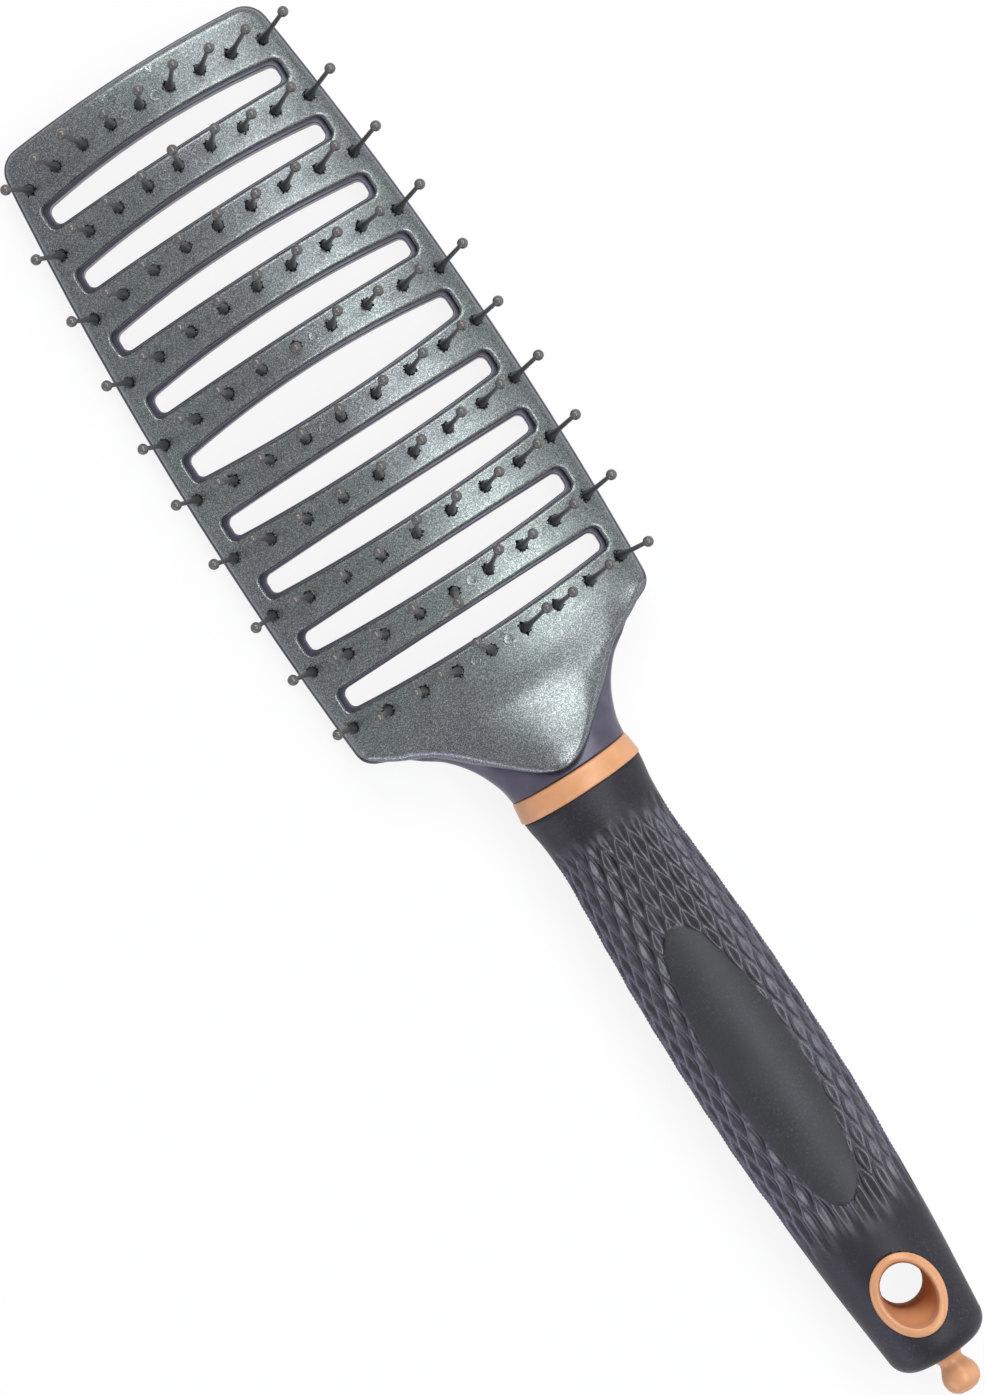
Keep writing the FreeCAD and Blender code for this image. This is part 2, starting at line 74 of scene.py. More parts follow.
# Meshes: longest side of an outline, and spacing of the points inside plate and frame
OUTLINE_STEP = 0.8
PLATE_SPACING = 1.5
FRAME_SPACING = 2.2
# Row height of the grid of points, and how far they keep from edges and folds, in spacings
GRID_ROW = 0.866
EDGE_CLEARANCE = 0.55
FOLD_CLEARANCE = 0.5
WELD_DISTANCE = 0.002
EDGE_STEPS = 6
FOLD_STEPS = 90
FOLD_END_GAPS = (1.4, 1.6)

# Rows of pins
ROWS_PER_GROUP = 5
ROWS = 2 * ROWS_PER_GROUP
PINS_PER_ROW = 9
TIP_ROW_Y = 118.95
TIP_ROW_PITCH = 11.475
TIP_ROW_BOW = 1.3
TAIL_ROW_Y = 59.85
TAIL_ROW_PITCH = 11.075
TAIL_ROW_BOW = -1.65
ROW_MARGIN = 2.05
ROW_TAPER = 1.2

# Vent slots
SLOT_END_HEIGHT = 4.1
SLOT_BOW = 1.25
SLOT_RAIL = 3.2
SLOT_CORNER = 1.2
SLOT_LEDGE = 0.4
SLOT_END_LEDGE = 1.0
TIP_SLOT_OFFSET = 2.55
TAIL_SLOT_OFFSET = 3.05
MIDDLE_SLOT_OFFSET = 4.3
MIDDLE_SLOT_BOW = 1.5

# Pins
PIN_LENGTH = 13.0
PIN_ROOT_RADIUS = 0.85
PIN_SHAFT_RADIUS = 0.40
PIN_BALL_RADIUS = 0.91
PIN_SWEEP = 0.95
PIN_FAN = 1.02
PIN_FORWARD = 0.3
PIN_SUNK = 0.35
PIN_NECK_RADIUS = 0.38
PIN_WAIST_RADIUS = 0.37
PIN_WAIST_GAP = 0.15
PIN_POLE_RADIUS = 0.02
PIN_BALL_STEPS = 9
PIN_SIDES = 16
# Flared shaft: distance from the face and radius
PIN_FLARE = (
    (-PIN_SUNK, PIN_ROOT_RADIUS), (0.0, PIN_ROOT_RADIUS), (0.5, 0.80), (1.4, 0.68), (2.4, 0.55),
    (3.3, 0.46), (4.4, PIN_SHAFT_RADIUS), (7.5, PIN_NECK_RADIUS),
)
# Bent pins: lean added across and along the brush, by row and pin
BENT_PINS = {
    (1, 2): (0.0, 0.8), (1, 3): (-0.8, 1.3), (1, 6): (0.3, 0.6),
    (2, 1): (-0.6, -0.3), (2, 5): (-0.6, 0.7), (2, 7): (-0.8, -0.9),
    (3, 6): (-0.4, -0.6), (4, 7): (-0.5, -0.8), (4, 8): (-0.3, -1.1),
    (5, 5): (-1.2, -1.6), (5, 7): (-0.4, -0.5), (5, 8): (-0.5, -0.6),
    (6, 5): (-0.6, 0.0), (6, 9): (-0.7, -0.5), (7, 2): (-0.3, 0.7),
    (8, 1): (0.0, -1.0), (8, 3): (0.7, -0.2), (8, 5): (0.2, 1.2), (8, 6): (-0.2, 0.7),
    (9, 4): (-0.4, 0.7), (9, 5): (-1.5, -2.5), (9, 6): (1.0, 1.2), (9, 7): (-0.7, 0.0),
    (10, 1): (0.7, 0.0), (10, 2): (0.3, -0.7), (10, 4): (-2.8, 0.8), (10, 5): (-2.5, 2.0),
    (10, 6): (2.7, 0.5), (10, 9): (-0.2, -1.0),
}

# Ragged collars of pressed plastic round the pins' roots; the material paints them near black, partly as
# painted shade of the gap round each root
COLLAR_RADIUS = 0.96
COLLAR_SIDES = 34
COLLAR_RAG = 0.06
COLLAR_SPIKES = 9
COLLAR_SPIKE_REACH = (0.14, 0.36)
COLLAR_ROUGHNESS = (-0.10, 0.14)
# Rings of a collar: distance inward, height above the face and share of the rough height
COLLAR_RINGS = ((0.0, -0.25, 0.0), (0.0, 0.03, 0.2), (0.16, 0.17, 1.0), (0.42, 0.13, -0.7))
# Nibs of a collar: direction and size
COLLAR_NIBS = ((math.pi / 2 + 0.35, 0.14), (-math.pi / 2 - 0.2, 0.098))
COLLAR_NIB_SHARPNESS = 24

# Pegs of the frame in the plate: row, and half pitches from the middle pin
PEGS = ((1, -1), (1, 1), (2, -1), (5, 1), (6, -1), (9, 1), (10, -1), (10, 1))
# Peg end: radius and depth below the plate's skin, from its wall to its middle
PEG_STEPS = (
    (0.93, 0.5), (0.93, -0.02), (0.88, -0.055), (0.78, -0.06), (0.62, -0.02), (0.3, -0.01), (0.0, -0.01),
)
PEG_SIDES = 28

# Neck from the head's foot to the ring: Y, half width, lowest and highest Z
NECK_SECTIONS = (
    (12.0, 21.5, 2.5, 9.6),
    (7.6, 19.9, 2.0, 11.1),
    (4.4, 16.0, 1.8, 12.4),
    (1.2, 13.4, 1.6, 13.9),
    (-2.0, 11.75, 1.4, 15.6),
    (-5.2, 10.75, 1.3, 17.4),
    (-8.4, 10.45, 1.3, 18.9),
    (-12.0, 10.4, 1.3, 19.2),
)
NECK_START_Y = NECK_SECTIONS[0][0]
NECK_JOIN = 1.2
NECK_STEPS = 44
NECK_SIDES = 96
NECK_LEAN_FROM = 0.5
# How steeply the neck's top falls ahead of its start, and the arch's top behind its end
NECK_FALL = 3.0
ARCH_FALL = 1.2
ARCH_END_Y = 4.0

# Tongue of the face plate
TONGUE = ((22.0, 8.6), (17.4, 6.3), (12.8, 2.2), (8.5, -1.5), (4.4, -4.9))
TONGUE_END_Y = -6.5
TONGUE_STEPS = 90
# How far the tongue's curve keeps from the rounded corners of the foot
TONGUE_CLEARANCE = (6.0, 1.6)

# Handle
HANDLE_AXIS_Z = 10.2
HANDLE_FLATNESS = 0.88
HANDLE_SECTIONS = (
    (-2.0, 11.3), (-11.5, 10.75), (-15.5, 10.2), (-19.6, 10.0), (-34.0, 10.75), (-46.0, 11.35),
    (-60.0, 11.58), (-73.0, 11.45), (-86.0, 10.8), (-99.0, 10.0), (-114.2, 8.6),
)
HANDLE_END_ROUND = 3.8
HANDLE_END_STEPS = 12
RING_Y = -8.7
RING_LENGTH = 3.7
RING_LEAN = math.radians(4.5)
RING_FRONT_HALF_WIDTH = 10.7
RING_REAR_HALF_WIDTH = 11.15
RING_FLATNESS = 0.87
RING_SIDES = 128
# Ring's section: front end (1), middle (0) or rear end (-1), distance from it and offset from its width
RING_SECTION = (
    (1, 0.0, -1.4), (1, 0.0, -0.3), (1, 0.1, -0.1), (1, 0.3, 0.02), (0, 0.0, 0.0),
    (-1, 0.3, -0.03), (-1, 0.1, -0.12), (-1, 0.0, -0.3), (-1, 0.0, -1.4),
)

# Net on the grip: columns round it, cell length and depth, and where it fades in and out
NET_COLUMNS = 24
NET_CELL = 7.6
NET_DEPTH = 0.85
NET_FADE_IN = (-15.8, -21.5)
NET_FADE_OUT = (-87.5, -95.5)
NET_FIRST_CELL = -2.5
NET_LAST_CELL = -11.5
# Fullness of a hollow, where a ridge begins and is whole, and where the ridges' painted sheen shows round the
# handle and how much of it stays on top
NET_FULLNESS = 0.85
NET_RIDGE = (0.74, 0.98)
NET_PAINTED_SHEEN_SIDES = (0.35, 0.9)
NET_PAINTED_SHEEN_ON_TOP = 0.04
STEPS_PER_COLUMN = 12
GRIP_LEAD = 0.6
GRIP_LEAN_REACH = 16.0
PANEL_Y = -62.5
PANEL_HALF_LENGTH = 25.85
PANEL_HALF_WIDTH = 6.7
PANEL_SIDE_RADIUS = 84.5
PANEL_CAP = 4.0
PANEL_BEYOND = 2.0
PANEL_EDGE = 0.16
PANEL_PROUD = 0.05

# Eyelet
EYELET_Y = -105.8
EYELET_RIM = (5.85, 7.2)
EYELET_BARREL = (4.7, 6.4)
EYELET_BORE = (3.75, 3.75)
EYELET_BORE_Y = -105.4
EYELET_RIM_Z = 16.6
EYELET_POCKET_Z = 15.0
EYELET_BORE_TOP_Z = 10.2
EYELET_SUNK = 0.05
# Lip from its outer to its inner edge: distance inside the rim and height above the rubber
EYELET_LIP = ((0.0, 0.08), (0.05, 0.22), (0.2, 0.3), (0.8, 0.32), (1.3, 0.22), (1.5, -0.1), (1.62, -1.1))
EYELET_MOUTH_INSET = 1.7
EYELET_STEPS = 6
EYELET_SIDES = 96
CUTTER_LOW_Z = -5.0
CUTTER_HIGH_Z = 30.0

# Knob: radius at each distance behind the end of the grip, from the stem inside it to its tip
KNOB_BASE_Y = -118.0
KNOB_SIDES = 64
KNOB_PROFILE = (
    (1.45, -4.8), (1.45, -0.02), (3.0, 0.0), (3.0, 0.15), (2.75, 0.4), (2.3, 0.75), (2.05, 1.25), (2.12, 1.8),
    (2.5, 2.5), (2.95, 3.35), (3.15, 4.4), (3.02, 5.3), (2.6, 6.1), (1.8, 6.7), (0.8, 6.95), (0.0, 7.0),
)

# Camera, taken from the picture's size and scale
FRAME_HEIGHT_PX = 1395
PX_PER_MM = 6.26
VIEW_CENTRE = (-4.07, 9.19)
VIEW_DISTANCE = 720.0
VIEW_TURN = math.radians(-32.87)
SENSOR_MM = 36.0
VIEW_REACH_M = 20.0

# Floor and world: half size, and how white they show themselves to the camera
FLOOR_HALF = 1500.0
FLOOR_WHITENESS = 0.88
WORLD_WHITENESS = 1.0
WORLD_STRENGTH = 0.1

# Lamps: place, aim, size in metres, power and colour
LAMPS = {
    "top": ((320.0, -265.0, 950.0), (10.0, -170.0, 0.0), (1.00, 0.42), 7.4, (0.97, 1.0, 0.995)),
    "key": ((270.0, 540.0, 620.0), (0.0, 20.0, 0.0), (0.62, 0.36), 4.6, (1.0, 1.0, 1.0)),
    "left": ((-560.0, -330.0, 150.0), (0.0, -40.0, 0.0), (0.6, 0.3), 1.7, (0.80, 0.76, 1.0)),
    "right": ((580.0, -330.0, 150.0), (0.0, -40.0, 0.0), (0.6, 0.3), 0.8, (0.84, 0.80, 1.0)),
}


# Small helpers


def turns(sides):
    """Angles of points spread evenly round a circle."""
    return [2 * math.pi * i / sides for i in range(sides)]


def head_half_width(y, inset=0.0):
    radius = HEAD_SIDE_RADIUS
    return HEAD_HALF_WIDTH - inset - radius + math.sqrt(radius ** 2 - (y - HEAD_WIDEST_Y) ** 2)


def face_drop(x):
    return FACE_RADIUS - np.sqrt(FACE_RADIUS ** 2 - np.clip(x, -40, 40) ** 2)


def smooth_step(low, high, value):
    t = np.clip((value - low) / (high - low), 0.0, 1.0)
    return t * t * (3 - 2 * t)


def soft_max(a, b, blend):
    """The larger of two heights, with a round join where they cross."""
    share = np.clip(0.5 + 0.5 * (a - b) / blend, 0.0, 1.0)
    return b + (a - b) * share + blend * share * (1 - share)


def spline_at(knots, values, where):
    """Smooth curve through points that doesn't overshoot, read at other places."""
    order = np.argsort(knots)
    xs = np.array(knots, float)[order]
    ys = np.array(values, float)[order]
    gap = np.diff(xs)
    slope = np.diff(ys) / gap
    tangent = np.zeros(len(xs))
    tangent[0], tangent[-1] = slope[0], slope[-1]
    for i in range(1, len(xs) - 1):
        if slope[i - 1] * slope[i] > 0:
            a = 2 * gap[i] + gap[i - 1]
            b = gap[i] + 2 * gap[i - 1]
            tangent[i] = (a + b) / (a / slope[i - 1] + b / slope[i])
    where = np.clip(np.asarray(where, float), xs[0], xs[-1])
    k = np.clip(np.searchsorted(xs, where) - 1, 0, len(gap) - 1)
    t = (where - xs[k]) / gap[k]
    h00 = (1 + 2 * t) * (1 - t) ** 2
    h10 = t * (1 - t) ** 2
    h01 = t * t * (3 - 2 * t)
    h11 = t * t * (t - 1)
    return h00 * ys[k] + h10 * gap[k] * tangent[k] + h01 * ys[k + 1] + h11 * gap[k] * tangent[k + 1]


def add_mesh(name, points, faces, smooth=True):
    """Object from points in millimetres."""
    mesh = bpy.data.meshes.new(name)
    mesh.from_pydata([(p[0] * MM, p[1] * MM, p[2] * MM) for p in points], [], faces)
    mesh.validate()
    obj = bpy.data.objects.new(name, mesh)
    bpy.context.scene.collection.objects.link(obj)
    for polygon in mesh.polygons:
        polygon.use_smooth = smooth
    mesh.update()
    return obj


def add_tone(obj, values, name="tone"):
    """Give each point a number from 0 to 1 that its material reads."""
    tone = obj.data.attributes.new(name, "FLOAT", "POINT")
    tone.data.foreach_set("value", np.array(values, np.float32))


def place(obj, material, slot, *nodes):
    """Give the material, ride the body and stand for the nodes; slot is not used."""
    obj.data.materials.append(material)
    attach(obj, BODY)
    if nodes:
        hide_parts(*nodes)


def loft_rings(rings, close_start=True, close_end=True):
    """Points and faces through rings with the same number of corners."""
    count = len(rings[0])
    points = [tuple(p) for ring in rings for p in ring]
    faces = []
    for k in range(len(rings) - 1):
        for i in range(count):
            j = (i + 1) % count
            faces.append((k * count + i, k * count + j, (k + 1) * count + j, (k + 1) * count + i))
    if close_start:
        faces.append(tuple(reversed(range(count))))
    if close_end:
        faces.append(tuple(range((len(rings) - 1) * count, len(rings) * count)))
    return points, faces


def loft_tube(rings):
    """Points and faces through rings of which the last joins the first."""
    points, faces = loft_rings(rings, False, False)
    count = len(rings[0])
    last = (len(rings) - 1) * count
    faces += [(last + i, last + (i + 1) % count, (i + 1) % count, i) for i in range(count)]
    return points, faces


def loft_to_point(rings, tip):
    """Points and faces through rings that close in a point."""
    points, faces = loft_rings(rings, True, False)
    count = len(rings[0])
    last = len(points) - count
    faces += [(last + i, last + (i + 1) % count, len(points)) for i in range(count)]
    return points + [tip], faces


def append_shape(points, faces, more, shape):
    """Add a second set of points and faces to the first."""
    start = len(points)
    points += more
    faces += [tuple(start + i for i in f) for f in shape]


# Flat outlines


def fillet_outline(corners, steps=8):
    """Closed outline from points with a corner radius each; radius 0 keeps the point."""
    outline = []
    count = len(corners)
    for i, (x, y, radius) in enumerate(corners):
        here = np.array((x, y))
        if radius <= 0:
            outline.append(here)
            continue
        before = np.array(corners[i - 1][:2]) - here
        after = np.array(corners[(i + 1) % count][:2]) - here
        before /= np.linalg.norm(before)
        after /= np.linalg.norm(after)
        half = math.acos(np.clip(before @ after, -1, 1)) / 2
        reach = radius / math.tan(half)
        middle = before + after
        centre = here + middle / np.linalg.norm(middle) * (radius / math.sin(half))
        start = here + before * reach - centre
        end = here + after * reach - centre
        sweep = math.pi - 2 * half
        for k in range(steps + 1):
            t = k / steps
            turned = (math.sin((1 - t) * sweep) * start + math.sin(t * sweep) * end) / math.sin(sweep)
            outline.append(centre + turned)
    return np.array(outline)


def refine(outline, step):
    """Closed outline with no side longer than a given length."""
    fine = []
    for a, b in zip(outline, np.roll(outline, -1, axis=0)):
        pieces = max(1, math.ceil(np.linalg.norm(b - a) / step))
        for k in range(pieces):
            fine.append(a + (b - a) * k / pieces)
    return np.array(fine)


def outward(outline):
    """Unit normals of a closed counterclockwise outline."""
    ahead = np.roll(outline, -1, axis=0) - outline
    ahead /= np.linalg.norm(ahead, axis=1)[:, None]
    behind = np.roll(ahead, 1, axis=0)
    along = ahead + behind
    along /= np.linalg.norm(along, axis=1)[:, None]
    return np.stack([along[:, 1], -along[:, 0]], axis=1)


def inside(outline, points):
    """Which points lie inside a closed outline."""
    x, y = points[:, 0], points[:, 1]
    found = np.zeros(len(points), bool)
    for a, b in zip(outline, np.roll(outline, -1, axis=0)):
        if a[1] == b[1]:
            continue
        crosses = (a[1] > y) != (b[1] > y)
        at = (b[0] - a[0]) * (y - a[1]) / (b[1] - a[1]) + a[0]
        found ^= crosses & (x < at)
    return found


def nearest(outline, points):
    """Distance from each point to the nearest corner of an outline."""
    best = np.full(len(points), 1e9)
    for start in range(0, len(outline), 64):
        part = outline[start:start + 64]
        gap = np.linalg.norm(points[:, None, :] - part[None, :, :], axis=2).min(axis=1)
        best = np.minimum(best, gap)
    return best


def row_centre_y(row):
    if row <= ROWS_PER_GROUP:
        return TIP_ROW_Y - TIP_ROW_PITCH * (row - 1)
    return TAIL_ROW_Y - TAIL_ROW_PITCH * (row - ROWS_PER_GROUP - 1)


def row_point(row, share):
    """Point on the face for a place along the row, from -1 at its left end to 1 at its right end."""
    centre_y = row_centre_y(row)
    bow = TIP_ROW_BOW if row <= ROWS_PER_GROUP else TAIL_ROW_BOW
    narrowing = HEAD_HALF_WIDTH - head_half_width(centre_y)
    x = (HEAD_HALF_WIDTH - ROW_MARGIN - ROW_TAPER * narrowing) * share
    return np.array((x, centre_y - bow * share ** 2, FACE_TOP_Z - face_drop(x)))


def slot_outline(slot, ledge, end_ledge):
    """Outline of a vent slot, counterclockwise."""
    if slot < ROWS_PER_GROUP:
        low = row_centre_y(slot + 1) + TIP_SLOT_OFFSET
        high = low + SLOT_END_HEIGHT
        low_bow, high_bow = 0.0, SLOT_BOW
    elif slot == ROWS_PER_GROUP:
        high = row_centre_y(slot) - MIDDLE_SLOT_OFFSET - SLOT_LEDGE
        low = row_centre_y(slot + 1) + MIDDLE_SLOT_OFFSET - SLOT_LEDGE
        low_bow, high_bow = MIDDLE_SLOT_BOW, MIDDLE_SLOT_BOW
    else:
        high = row_centre_y(slot) - TAIL_SLOT_OFFSET
        low = high - SLOT_END_HEIGHT
        low_bow, high_bow = SLOT_BOW, 0.0
    low, high = low + ledge, high - ledge
    half = head_half_width((low + high) / 2) - SLOT_RAIL - end_ledge
    steps = 12
    corners = [(-half, low, SLOT_CORNER)]
    for i in range(1, steps):
        x = half * (2 * i / steps - 1)
        corners.append((x, low - low_bow * (1 - (x / half) ** 2), 0))
    corners.append((half, low, SLOT_CORNER))
    corners.append((half, high, SLOT_CORNER))
    for i in range(steps - 1, 0, -1):
        x = half * (2 * i / steps - 1)
        corners.append((x, high + high_bow * (1 - (x / half) ** 2), 0))
    corners.append((-half, high, SLOT_CORNER))
    return refine(fillet_outline(corners), OUTLINE_STEP)


def side_corners(inset, foot_y, folds=()):
    """Right side, tip and left side of the head, counterclockwise from the right foot."""
    tip_y = HEAD_TIP_Y - inset
    shoulder_y = tip_y - HEAD_TIP_BOW
    corner = HEAD_TIP_CORNER - inset
    steps = 14
    right = []
    for i in range(1, steps):
        y = foot_y + (shoulder_y - foot_y) * i / steps
        right.append((head_half_width(y, inset), y, 0))
    shoulder = head_half_width(shoulder_y, inset)
    tip = [(shoulder, shoulder_y, corner)]
    shares = sorted([0.6, 0.3, 0.0, -0.3, -0.6] + [x / shoulder for x in folds], reverse=True)
    for share in shares:
        tip.append((shoulder * share, tip_y - HEAD_TIP_BOW * share ** 2, 0))
    tip.append((-shoulder, shoulder_y, corner))
    left = [(-x, y, r) for x, y, r in reversed(right)]
    return right + tip + left


def tongue_side():
    """Edge of the tongue from the plate's right foot round to its left one, and the length along it."""
    foot_y = HEAD_FOOT_Y + 2 * PLATE_INSET
    knots = [(head_half_width(foot_y, PLATE_INSET), foot_y)] + list(TONGUE)
    knots.append((0.0, TONGUE_END_Y))
    knots += [(-x, y) for x, y in reversed(knots[:-1])]
    knots = np.array(knots)
    span = np.concatenate([[0.0], np.cumsum(np.linalg.norm(np.diff(knots, axis=0), axis=1))])
    return span, knots


def natural_spline(span, knots, where):
    """Smooth curve through points, without corners."""
    count = len(span)
    gap = np.diff(span)
    matrix = np.eye(count)
    right = np.zeros((count, 2))
    for i in range(1, count - 1):
        matrix[i, i - 1] = gap[i - 1]
        matrix[i, i] = 2 * (gap[i - 1] + gap[i])
        matrix[i, i + 1] = gap[i]
        change = (knots[i + 1] - knots[i]) / gap[i] - (knots[i] - knots[i - 1]) / gap[i - 1]
        right[i] = 6 * change
    bend = np.linalg.solve(matrix, right)
    k = np.clip(np.searchsorted(span, where) - 1, 0, count - 2)
    a = (span[k + 1] - where)[:, None]
    b = (where - span[k])[:, None]
    g = gap[k][:, None]
    curve = (bend[k] * a ** 3 + bend[k + 1] * b ** 3) / (6 * g)
    curve += (knots[k] / g - bend[k] * g / 6) * a
    curve += (knots[k + 1] / g - bend[k + 1] * g / 6) * b
    return curve


def plate_outline():
    """Outline of the face plate, counterclockwise."""
    foot_y = HEAD_FOOT_Y + 2 * PLATE_INSET
    span, knots = tongue_side()
    foot_x = knots[0][0]
    fine = natural_spline(span, knots, np.linspace(0, span[-1], TONGUE_STEPS))
    clear_x, clear_y = TONGUE_CLEARANCE
    clear = (fine[:, 1] < foot_y - clear_y) | (np.abs(fine[:, 0]) < foot_x - clear_x)
    tongue = [(x, y, 0) for x, y in fine[clear][::-1]]
    corners = [(foot_x, foot_y, HEAD_FOOT_CORNER)] + side_corners(PLATE_INSET, foot_y)
    corners += [(-foot_x, foot_y, HEAD_FOOT_CORNER)] + tongue
    return refine(fillet_outline(corners), OUTLINE_STEP)


def frame_outline():
    """Outline of the head's frame, counterclockwise; its foot ends inside the neck."""
    foot_y = HEAD_FOOT_Y
    foot_x = head_half_width(foot_y)
    wall = float(rail_line(HEAD_TIP_Y))
    folds = (wall, wall + RAIL_DRAFT, -wall, -wall - RAIL_DRAFT)
    corners = [(foot_x, foot_y, HEAD_FOOT_CORNER)] + side_corners(0.0, foot_y, folds)
    corners.append((-foot_x, foot_y, HEAD_FOOT_CORNER))
    corners += [(-x, y, 0) for x, y in FRAME_FOOT]
    corners += [(x, y, 0) for x, y in reversed(FRAME_FOOT)]
    return refine(fillet_outline(corners), OUTLINE_STEP)


# Heights of the moulded surfaces

neck_y, neck_half, neck_low, neck_high = (np.array(v, float) for v in zip(*NECK_SECTIONS))


def neck_at(y):
    """Half width, lowest and highest level of the neck."""
    half = spline_at(neck_y, neck_half, y)
    low = spline_at(neck_y, neck_low, y)
    high = spline_at(neck_y, neck_high, y)
    return half, low, high


def top_height(x, y):
    """Top of the frame: the arch of the head, and the neck that rises out of it."""
    arch = FACE_TOP_Z - PLATE_THICKNESS - SEAT_GAP - face_drop(x)
    half, low, high = neck_at(np.minimum(y, NECK_START_Y))
    share = np.clip(1 - (x / half) ** 2, 0.0, 1.0)
    neck = (low + high) / 2 + (high - low) / 2 * np.sqrt(share)
    neck = neck - NECK_FALL * np.clip(y - NECK_START_Y, 0, None)
    arch = arch - ARCH_FALL * np.clip(ARCH_END_Y - y, 0, None)
    return soft_max(neck, arch, NECK_JOIN)


def plate_top(x, y):
    return top_height(x, y) + PLATE_THICKNESS + SEAT_GAP


def plate_bottom(x, y):
    return top_height(x, y) + SEAT_GAP


def rail_line(y):
    """Half width of the hollow between the side rails."""
    edge = HEAD_SIDE_RADIUS - np.sqrt(HEAD_SIDE_RADIUS ** 2 - (y - HEAD_WIDEST_Y) ** 2)
    return HEAD_HALF_WIDTH - RAIL_WIDTH + RAIL_EASE - edge


def frame_bottom(x, y):
    """Underside of the head: hollow under the arch, down to the table under the side rails."""
    hollow = FACE_TOP_Z - PLATE_THICKNESS - SEAT_GAP - RIB_DEPTH - face_drop(x)
    inner = rail_line(y)
    rail = np.clip((np.abs(x) - inner) / RAIL_DRAFT, 0.0, 1.0)
    return hollow * (1 - rail)


# Slab between two height fields, with holes and rounded edges


def edge_rings(outline, side, round_top, round_bottom, top, bottom):
    """Rings of points from the top's edge over the wall to the bottom's edge."""
    normal = outward(outline) * side
    rings = []
    for k in range(EDGE_STEPS + 1):
        turn = math.pi / 2 * (1 - k / EDGE_STEPS)
        at = outline - normal * round_top * (1 - math.cos(turn))
        z = top(at[:, 0], at[:, 1]) - round_top * (1 - math.sin(turn))
        rings.append((at, z))
    for k in range(EDGE_STEPS + 1):
        turn = math.pi / 2 * k / EDGE_STEPS
        at = outline - normal * round_bottom * (1 - math.cos(turn))
        z = bottom(at[:, 0], at[:, 1]) + round_bottom * (1 - math.sin(turn))
        rings.append((at, z))
    return rings


def fill_between(outer, holes, spacing, lines=()):
    """Triangles of a flat region with holes and fold lines, with points spread over its inside."""
    low, high = outer.min(axis=0), outer.max(axis=0)
    xs = np.arange(low[0], high[0], spacing)
    ys = np.arange(low[1], high[1], spacing * GRID_ROW)
    grid = []
    for k, y in enumerate(ys):
        for x in xs:
            grid.append((x + (k % 2) * spacing / 2, y))
    grid = np.array(grid)
    keep = inside(outer, grid) & (nearest(outer, grid) > spacing * EDGE_CLEARANCE)
    for hole in holes:
        keep &= ~inside(hole, grid) & (nearest(hole, grid) > spacing * EDGE_CLEARANCE)
    for line in lines:
        keep &= nearest(line, grid) > spacing * FOLD_CLEARANCE
    loops = [outer] + list(holes)
    points = [p for loop in loops for p in loop]
    edges = []
    start = 0
    for loop in loops:
        count = len(loop)
        edges += [(start + i, start + (i + 1) % count) for i in range(count)]
        start += count
    for line in lines:
        points += list(line)
        edges += [(start + i, start + i + 1) for i in range(len(line) - 1)]
        start += len(line)
    points += list(grid[keep])
    done = delaunay_2d_cdt([Vector(p) for p in points], edges, [], 0, 1e-6)
    flat, faces = np.array([tuple(v) for v in done[0]]), done[2]
    centres = np.array([flat[list(f)].mean(axis=0) for f in faces])
    wanted = inside(outer, centres)
    for hole in holes:
        wanted &= ~inside(hole, centres)
    return flat, [f for f, use in zip(faces, wanted) if use]


def slab(name, outer, holes, top, bottom, rounds, spacing, folds=()):
    """Closed solid between two height fields, the lower one with upright folds.

    The rounds are those of the outer edge's top, the holes' top and every lower edge.
    """
    round_outer, round_hole, round_bottom = rounds
    loops = [(outer, 1)] + [(hole, -1) for hole in holes]
    points, faces, walls = [], [], []
    for outline, side in loops:
        round_top = round_outer if side > 0 else round_hole
        walls.append(edge_rings(outline, side, round_top, round_bottom, top, bottom))
    for level, (height, ring_index) in enumerate(((top, 0), (bottom, -1))):
        rims = [rings[ring_index][0] for rings in walls]
        flat, triangles = fill_between(rims[0], rims[1:], spacing, folds if level else ())
        start = len(points)
        z = height(flat[:, 0], flat[:, 1])
        points += [(x, y, h) for (x, y), h in zip(flat, z)]
        for a, b, c in triangles:
            side_b, side_c = flat[b] - flat[a], flat[c] - flat[a]
            up = side_b[0] * side_c[1] > side_b[1] * side_c[0]
            if up == (level == 0):
                faces.append((start + a, start + b, start + c))
            else:
                faces.append((start + a, start + c, start + b))
    for (outline, side), rings in zip(loops, walls):
        count = len(outline)
        start = len(points)
        for at, z in rings:
            points += [(x, y, h) for (x, y), h in zip(at, z)]
        for k in range(len(rings) - 1):
            for i in range(count):
                j = (i + 1) % count
                quad = (start + k * count + j, start + k * count + i,
                        start + (k + 1) * count + i, start + (k + 1) * count + j)
                faces.append(quad if side > 0 else quad[::-1])
    obj = add_mesh(name, points, faces)
    weld(obj)
    return obj


def weld(obj, distance=WELD_DISTANCE):
    """Join points that lie on each other and drop what has no area."""
    work = bmesh.new()
    work.from_mesh(obj.data)
    bmesh.ops.remove_doubles(work, verts=work.verts, dist=distance * MM)
    bmesh.ops.dissolve_degenerate(work, edges=work.edges, dist=distance * MM / 4)
    work.to_mesh(obj.data)
    work.free()
    for polygon in obj.data.polygons:
        polygon.use_smooth = True


def outward_faces(obj):
    """Turn the faces of a closed mesh outward."""
    work = bmesh.new()
    work.from_mesh(obj.data)
    bmesh.ops.recalc_face_normals(work, faces=work.faces)
    work.to_mesh(obj.data)
    work.free()


